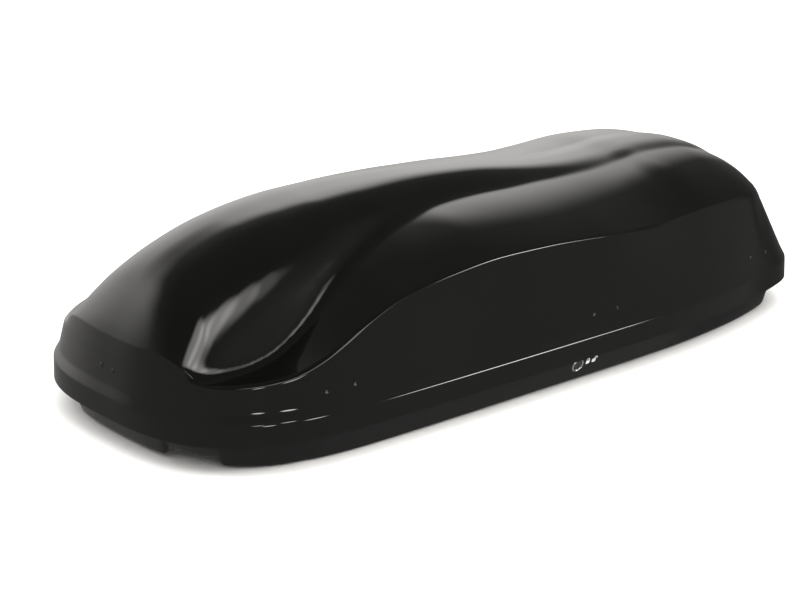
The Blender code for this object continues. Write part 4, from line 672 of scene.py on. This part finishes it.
def floor_height(x, y):
    """Underside of the tray: three runners and two raised channels, turned up at both ends."""
    across = abs(y) / squeeze_at(x)
    rising = ease(CHANNEL_INNER, CHANNEL_INNER + CHANNEL_SLOPE, across)
    falling = ease(CHANNEL_OUTER - CHANNEL_SLOPE, CHANNEL_OUTER, across)
    front = share_between(FLAT_FRONT, NOSE_X, x)
    rear = share_between(FLAT_REAR, TAIL_X, x)
    return CHANNEL_DEPTH * (rising - falling) + NOSE_RISE * front ** 2 + TAIL_RISE * rear ** 2


def edge_angle(kind, distance):
    """Angle at which the floor's rounded end comes to a distance from the middle line."""
    if distance == 0.0:
        return 0.0
    return end_angle(kind, FLOOR_EDGE_INSET, lambda x, y: -y > distance)


def tray_section(column):
    """Points from the rim's outer edge down the wall and round the foot to the floor's edge."""
    edge_x, edge_y = outline_point(column, FLOOR_EDGE_INSET, FLOOR_EDGE_INSET)
    corners = []
    for inset, level, rise in ((RIM_INSET, RIM_TOP, 0.0), (TRAY_WALL_INSET, RIM_TOP, 0.0),
                               (TRAY_WALL_INSET, LID_BOTTOM, 0.0), (TRAY_FOOT_INSET, None, 1.0),
                               (mix(TRAY_FOOT_INSET, FLOOR_EDGE_INSET, 0.4), None, 0.3),
                               (FLOOR_EDGE_INSET, None, 0.0)):
        x, y = outline_point(column, inset, inset)
        x_floor = x if column[0] == "side" else edge_x
        if level is None:
            level = floor_height(x_floor, edge_y) + edge_rise(x_floor) * rise
        corners.append(Vector((x, y, level)))
    chain = rounded(corners, TRAY_FOLD_REACHES, FOLD_STEPS)
    for index, count in ((10, 6), (20, 2)):
        chain = split(chain, index, count)
    return chain


lines = [0.0]
for low, high in zip(FLOOR_LINES, FLOOR_LINES[1:]):
    lines += [mix(low, high, (step + 1) / STEPS_TO_A_LINE) for step in range(STEPS_TO_A_LINE)]
stations = [mix(FLOOR_START, FLOOR_END, step / FLOOR_STEPS) for step in range(FLOOR_STEPS + 1)]
nose_angles = [edge_angle("nose", line) for line in lines]
tail_angles = [edge_angle("tail", line * TAIL_SQUEEZE) for line in lines]
tray_columns = [("nose", angle) for angle in nose_angles] + [("side", x) for x in stations] \
    + [("tail", angle) for angle in reversed(tail_angles)]
sections = [tray_section(column) for column in tray_columns]
tray = shaped_grid("tray_skin", sections)
floor_columns = [[section[-1] for section in sections[:len(lines)]]]
for index, x in enumerate(stations):
    inner = [Vector((x, -line * squeeze_at(x), floor_height(x, line * squeeze_at(x))))
             for line in lines[:-1]]
    floor_columns.append(inner + [sections[len(lines) + index][-1]])
floor_columns.append([section[-1] for section in reversed(sections[-len(lines):])])
tray_floor = shaped_grid("tray_floor", floor_columns)
bpy.ops.object.select_all(action="DESELECT")
tray_floor.select_set(True)
tray.select_set(True)
bpy.context.view_layer.objects.active = tray
bpy.ops.object.join()
bpy.ops.object.mode_set(mode="EDIT")
bpy.ops.mesh.select_all(action="SELECT")
bpy.ops.mesh.remove_doubles(threshold=WELD_DISTANCE)
bpy.ops.mesh.normals_make_consistent(inside=False)
bpy.ops.object.mode_set(mode="OBJECT")
lowest = min(tray.data.polygons, key=lambda face: face.center.z)
if lowest.normal.z > 0.0:
    tray.data.flip_normals()
mirror_and_thicken(tray, SHELL_WALL)

# The lock's hole through the tray's opening side, on the axis that the barrel turns about
BARREL_RADIUS = 0.0110
BARREL_CLEARANCE = 0.0003
DRILL_DEPTH = 0.020
turn = next(joint for joint in frame["joints"] if joint["name"] == "lock_turn")
lock_point = Vector(turn["pos_m"])
lock_out = -Vector(turn["axis"]).normalized()


def frame_on(point, out, side=Vector((1.0, 0.0, 0.0))):
    """Placing matrix on a wall: X as near as it can be to the side's direction, Z outwards."""
    along = (side - out * out.dot(side)).normalized()
    matrix = Matrix((along, out.cross(along), out)).transposed().to_4x4()
    matrix.translation = point
    return matrix


def apply_place(item, matrix):
    """Puts a piece at its place with its object left at the origin."""
    item.data.transform(matrix)
    item.matrix_world = Matrix.Identity(4)


lock_frame = frame_on(lock_point, lock_out)
bpy.ops.object.select_all(action="DESELECT")
bpy.ops.mesh.primitive_cylinder_add(vertices=48, radius=BARREL_RADIUS + BARREL_CLEARANCE,
                                    depth=DRILL_DEPTH)
drill = bpy.context.object
apply_place(drill, lock_frame)
bpy.ops.object.select_all(action="DESELECT")
bpy.context.view_layer.objects.active = tray
bore = tray.modifiers.new("lock hole", "BOOLEAN")
bore.operation = "DIFFERENCE"
bore.solver = "EXACT"
bore.object = drill
bpy.ops.object.modifier_apply(modifier=bore.name)
bpy.data.objects.remove(drill)
tray.select_set(True)
bpy.ops.object.shade_smooth_by_angle(angle=SMOOTH_ANGLE)

# The same ABS on a plainer mould: a little less gloss than the lid, and a shorter ripple
tray_abs = moulded_plastic("vacuum_formed_satin_black_abs", "050505", "0a0a09", 0.08, 0.13,
                           90.0, 2.0, 0.015)
tray.data.materials.append(tray_abs)
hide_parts("tray_shell")
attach(tray, "base")

# Floor rails: two flat strips of zinc-plated steel riveted inside over the channels, which
# spread the clamps' load. Punched, then plated in a barrel, so they are a dull patchy silver.


def mottled_finish(name, dark, light, rough_low, rough_high, patch_mm, grain_mm, metallic):
    """Metal, plating, paint or ink: patches in tone and gloss, and a fine grain."""
    material, surface = new_material(name)
    place = add_node(material, "ShaderNodeTexCoord").outputs["Object"]
    patch = add_node(material, "ShaderNodeTexNoise", {"Scale": 1000.0 / patch_mm, "Detail": 4.0},
                     {"Vector": place}).outputs["Fac"]
    grain = add_node(material, "ShaderNodeTexNoise", {"Scale": 1000.0 / grain_mm, "Detail": 2.0},
                     {"Vector": place}).outputs["Fac"]
    tone = add_node(material, "ShaderNodeMix", {"data_type": "RGBA", 6: linear(dark),
                                                7: linear(light)}, {"Factor": patch})
    gloss = add_node(material, "ShaderNodeMapRange", {"From Min": 0.3, "From Max": 0.7,
                                                      "To Min": rough_low, "To Max": rough_high},
                     {"Value": patch})
    bump = add_node(material, "ShaderNodeBump", {"Strength": 0.3, "Distance": 0.00005},
                    {"Height": grain})
    material.node_tree.links.new(tone.outputs[2], surface.inputs["Base Color"])
    material.node_tree.links.new(gloss.outputs["Result"], surface.inputs["Roughness"])
    material.node_tree.links.new(bump.outputs["Normal"], surface.inputs["Normal"])
    surface.inputs["Metallic"].default_value = metallic
    return material


def finish_solids(material, *names):
    """Gives CAD solids a finish in their own material slots."""
    for name in names:
        for entry in frame["nodes"][name].material_slots:
            entry.material = material


zinc_steel = mottled_finish("barrel_plated_zinc_steel", "8f918f", "b9bab4", 0.30, 0.48, 12.0,
                            0.8, 1.0)
finish_solids(zinc_steel, "floor_rail_opening_side", "floor_rail_hinge_side")

# Catches and nose tongue: bent zinc-plated steel plates inside the lid wall. The lock bar's
# fingers hold the catches, and the nose tongue drops behind the tray's rim.
finish_solids(zinc_steel, "lid_catch_front", "lid_catch_middle", "lid_catch_rear", "nose_locator")

# Rivets: domed blind rivets with blackened aluminium heads, in pairs through the lid wall and
# singly through the tray. Each has a head outside, a shank and a bulged tail inside.
RIVET_HEAD = 0.0055
RIVET_HEAD_HEIGHT = 0.0024
SMALL_HEAD = 0.0042
SMALL_HEAD_HEIGHT = 0.0018
RIVET_SHANK = 0.0022
RIVET_TAIL = 0.0038
RIVET_TAIL_HEIGHT = 0.0014
RIVET_SEAT_GAP = 0.0003
CATCH_RIVET_GRIP = 0.0068
GUIDE_RIVET_GRIP = 0.0084
RIVET_SMOOTH_ANGLE = math.radians(50.0)

# Blackened aluminium: dark grey metal with a soft shine on the dome
black_rivet = mottled_finish("blackened_aluminium_rivet", "3c3c3e", "58585a", 0.16, 0.26, 3.0,
                             0.5, 1.0)


def dome(radius, height, direction):
    """Shallow domed cap that stands on the XY plane."""
    bpy.ops.object.select_all(action="DESELECT")
    bpy.ops.mesh.primitive_uv_sphere_add(segments=28, ring_count=14, radius=radius)
    item = bpy.context.object
    bpy.ops.object.mode_set(mode="EDIT")
    bpy.ops.mesh.select_all(action="SELECT")
    bpy.ops.mesh.bisect(plane_co=(0.0, 0.0, 0.0), plane_no=(0.0, 0.0, 1.0), use_fill=True,
                        clear_inner=True)
    bpy.ops.mesh.select_all(action="SELECT")
    bpy.ops.transform.resize(value=(1.0, 1.0, direction * height / radius),
                             center_override=(0.0, 0.0, 0.0))
    bpy.ops.mesh.normals_make_consistent(inside=False)
    bpy.ops.object.mode_set(mode="OBJECT")
    return item


def joined(name, pieces):
    """Joins pieces into the first one."""
    bpy.ops.object.select_all(action="DESELECT")
    for piece in pieces:
        piece.select_set(True)
    bpy.context.view_layer.objects.active = pieces[0]
    bpy.ops.object.join()
    pieces[0].name = name
    return pieces[0]


def rivet_form(name, head, height, grip):
    """Rivet along Z: head above the face at zero, tail below the sheets it grips."""
    cap = dome(head, height, 1.0)
    tail = dome(RIVET_TAIL, RIVET_TAIL_HEIGHT, -1.0)
    tail.data.transform(Matrix.Translation((0.0, 0.0, -grip)))
    bpy.ops.object.select_all(action="DESELECT")
    bpy.ops.mesh.primitive_cylinder_add(vertices=20, radius=RIVET_SHANK, depth=grip,
                                        location=(0.0, 0.0, -grip / 2))
    shank = bpy.context.object
    shank.data.transform(shank.matrix_world)
    shank.matrix_world = Matrix.Identity(4)
    form = joined(name, [cap, tail, shank])
    bpy.ops.object.shade_smooth_by_angle(angle=RIVET_SMOOTH_ANGLE)
    form.data.materials.append(black_rivet)
    return form


def place_rivet(form, node, shell, body, inward, side):
    """Copies a rivet to where a ray through its CAD solid meets the shell's outer face."""
    low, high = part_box(node)
    start = (low + high) / 2 - Vector(inward)
    point, out = shell.ray_cast(start, Vector(inward))[1:3]
    rivet = form.copy()
    rivet.data = form.data.copy()
    rivet.name = node + "_look"
    bpy.context.scene.collection.objects.link(rivet)
    apply_place(rivet, frame_on(point + out * RIVET_SEAT_GAP, out, Vector(side)))
    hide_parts(node)
    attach(rivet, body)


catch_rivet = rivet_form("catch_rivet_form", RIVET_HEAD, RIVET_HEAD_HEIGHT, CATCH_RIVET_GRIP)
for number in range(1, 7):
    place_rivet(catch_rivet, f"lid_catch_rivet_{number}", lid, "lid", (0, 1, 0), (1, 0, 0))
for number in range(1, 3):
    place_rivet(catch_rivet, f"nose_locator_rivet_{number}", lid, "lid", (1, 0, 0), (0, -1, 0))
guide_rivet = rivet_form("guide_rivet_form", SMALL_HEAD, SMALL_HEAD_HEIGHT, GUIDE_RIVET_GRIP)
for number in range(1, 6):
    place_rivet(guide_rivet, f"bar_guide_rivet_{number}", tray, "base", (0, 1, 0), (1, 0, 0))
bpy.data.objects.remove(catch_rivet)
bpy.data.objects.remove(guide_rivet)

# Key lock: a chromed ring on the tray wall, round the turned barrel's face with its keyway.
# The body behind it is moulded nylon, and a plated cam on the barrel's end moves the lock bar.
RING_RADIUS = 0.0150
RING_BEAD = 0.0025
RING_SEAT_GAP = 0.0003
BARREL_LENGTH = 0.0348
BARREL_PROUD = 0.0012
BARREL_EDGE = 0.0004
KEYWAY_WIDTH = 0.0020
KEYWAY_LENGTH = 0.0095
KEYWAY_DEPTH = 0.0060
bpy.ops.object.select_all(action="DESELECT")
bpy.ops.mesh.primitive_torus_add(major_segments=64, minor_segments=20, major_radius=RING_RADIUS,
                                 minor_radius=RING_BEAD)
ring = bpy.context.object
ring.name = "lock_ring"
bpy.ops.object.mode_set(mode="EDIT")
bpy.ops.mesh.select_all(action="SELECT")
bpy.ops.mesh.bisect(plane_co=(0.0, 0.0, 0.0), plane_no=(0.0, 0.0, 1.0), use_fill=True,
                    clear_inner=True)
bpy.ops.object.mode_set(mode="OBJECT")
bpy.ops.object.shade_smooth_by_angle(angle=SMOOTH_ANGLE)
apply_place(ring, lock_frame @ Matrix.Translation((0.0, 0.0, RING_SEAT_GAP)))

# Bright chrome over polished zinc alloy: a clean mirror with a few duller patches
chrome = mottled_finish("polished_chrome_plate", "dcdddf", "f0f1f2", 0.04, 0.09, 9.0, 2.0, 1.0)
ring.data.materials.append(chrome)
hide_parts("lock_bezel")
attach(ring, "base")

bpy.ops.object.select_all(action="DESELECT")
bpy.ops.mesh.primitive_cylinder_add(vertices=64, radius=BARREL_RADIUS, depth=BARREL_LENGTH,
                                    location=(0.0, 0.0, BARREL_PROUD - BARREL_LENGTH / 2))
barrel = bpy.context.object
barrel.name = "lock_barrel_turned"
barrel.data.transform(barrel.matrix_world)
barrel.matrix_world = Matrix.Identity(4)
bpy.ops.mesh.primitive_cube_add(size=1.0)
key_cut = bpy.context.object
key_cut.data.transform(Matrix.Translation((0.0, 0.0, BARREL_PROUD))
                       @ Matrix.Diagonal((KEYWAY_WIDTH, KEYWAY_LENGTH, 2 * KEYWAY_DEPTH, 1.0)))
bpy.ops.object.select_all(action="DESELECT")
bpy.context.view_layer.objects.active = barrel
cut = barrel.modifiers.new("keyway", "BOOLEAN")
cut.solver = "EXACT"
cut.object = key_cut
bpy.ops.object.modifier_apply(modifier=cut.name)
bpy.data.objects.remove(key_cut)
bevel = barrel.modifiers.new("edge", "BEVEL")
bevel.width = BARREL_EDGE
bevel.segments = 3
bevel.limit_method = "ANGLE"
bpy.ops.object.modifier_apply(modifier=bevel.name)
barrel.select_set(True)
bpy.ops.object.shade_smooth_by_angle(angle=SMOOTH_ANGLE)
apply_place(barrel, lock_frame)

# Nickel plate over turned brass, satin: a grey metal with a blurred shine
barrel_metal = mottled_finish("satin_nickel_lock_barrel", "6b6a67", "8a8986", 0.25, 0.38, 6.0,
                              0.6, 1.0)
barrel.data.materials.append(barrel_metal)
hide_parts("lock_barrel")
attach(barrel, "lock_barrel")

# Glass-filled nylon, injection moulded: dull and finely grained
nylon = moulded_plastic("moulded_black_nylon", "161617", "1e1e1f", 0.45, 0.58, 60.0, 0.8, 0.020)
finish_solids(nylon, "lock_housing")
finish_solids(zinc_steel, "lock_cam")

# Lock marks: two plain padlocks printed on the tray beside the lock, one shut and one open.
# They are pad-printed in white ink, which lies matt and opaque on the black wall.
MARK_PLACES = (("padlock_mark_closed", 0.032, 0.0), ("padlock_mark_open", 0.051, 0.0060))
MARK_WIDTH = 0.0110
MARK_HEIGHT = 0.0090
INK_THICKNESS = 0.00012
INK_GAP = 0.00005
SHACKLE_RADIUS = 0.0037
SHACKLE_LINE = 0.0009
SHACKLE_STRETCH = 1.35
SHACKLE_LIFT = MARK_HEIGHT / 2 + 0.0006
white_ink = mottled_finish("pad_printed_white_ink", "dededb", "ecece8", 0.42, 0.55, 5.0, 0.8, 0.0)
for name, shift, shackle_shift in MARK_PLACES:
    bpy.ops.object.select_all(action="DESELECT")
    bpy.ops.mesh.primitive_cube_add(size=1.0)
    block = bpy.context.object
    block.data.transform(Matrix.Diagonal((MARK_WIDTH, MARK_HEIGHT, INK_THICKNESS, 1.0)))
    bpy.ops.mesh.primitive_torus_add(major_segments=40, minor_segments=8,
                                     major_radius=SHACKLE_RADIUS, minor_radius=SHACKLE_LINE)
    shackle = bpy.context.object
    bpy.ops.object.mode_set(mode="EDIT")
    bpy.ops.mesh.select_all(action="SELECT")
    bpy.ops.mesh.bisect(plane_co=(0.0, 0.0, 0.0), plane_no=(0.0, 1.0, 0.0), use_fill=True,
                        clear_inner=True)
    bpy.ops.object.mode_set(mode="OBJECT")
    flatten = INK_THICKNESS / (2 * SHACKLE_LINE)
    shackle.data.transform(Matrix.Translation((shackle_shift, SHACKLE_LIFT, 0.0))
                           @ Matrix.Diagonal((1.0, SHACKLE_STRETCH, flatten, 1.0)))
    mark = joined(name, [block, shackle])
    start = lock_frame @ Vector((shift, 0.0, 0.05))
    point, out = tray.ray_cast(start, -lock_out)[1:3]
    apply_place(mark, frame_on(point + out * (INK_THICKNESS / 2 + INK_GAP), out))
    mark.data.materials.append(white_ink)
    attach(mark, "base")

# Lock bar and guides: a bent zinc-plated bar along the opening side, which slides in five
# moulded nylon blocks when the key turns.
finish_solids(zinc_steel, "lock_bar")
finish_solids(nylon, "bar_guide_nose", "bar_guide_front", "bar_guide_middle", "bar_guide_rear",
              "bar_guide_tail")

# Hinges: pressed steel leaves with rolled knuckles, powder-coated black, on plated pins.
# The coat is a low gloss with an orange-peel surface.
powder_coat = mottled_finish("black_powder_coated_steel", "121213", "1a1a1b", 0.38, 0.50, 10.0,
                             1.2, 0.0)
for place in ("front", "middle", "rear"):
    finish_solids(powder_coat, f"hinge_lid_leaf_{place}", f"hinge_tray_leaf_{place}")
    finish_solids(zinc_steel, f"hinge_pin_{place}")

# Gas struts: a painted cylinder on the tray and a hard-chromed rod up to the lid, each end on
# a stud of a powder-coated bracket.
strut_paint = mottled_finish("gloss_black_painted_cylinder", "0d0d0e", "141415", 0.16, 0.26, 25.0,
                             2.0, 0.0)
hard_chrome = mottled_finish("ground_hard_chrome_rod", "c3c5c8", "d9dadc", 0.10, 0.18, 8.0, 0.4, 1.0)
for place in ("front", "rear"):
    finish_solids(strut_paint, f"strut_cylinder_{place}")
    finish_solids(hard_chrome, f"strut_rod_{place}")
    finish_solids(powder_coat, f"strut_lid_bracket_{place}", f"strut_tray_bracket_{place}")

low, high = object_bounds()
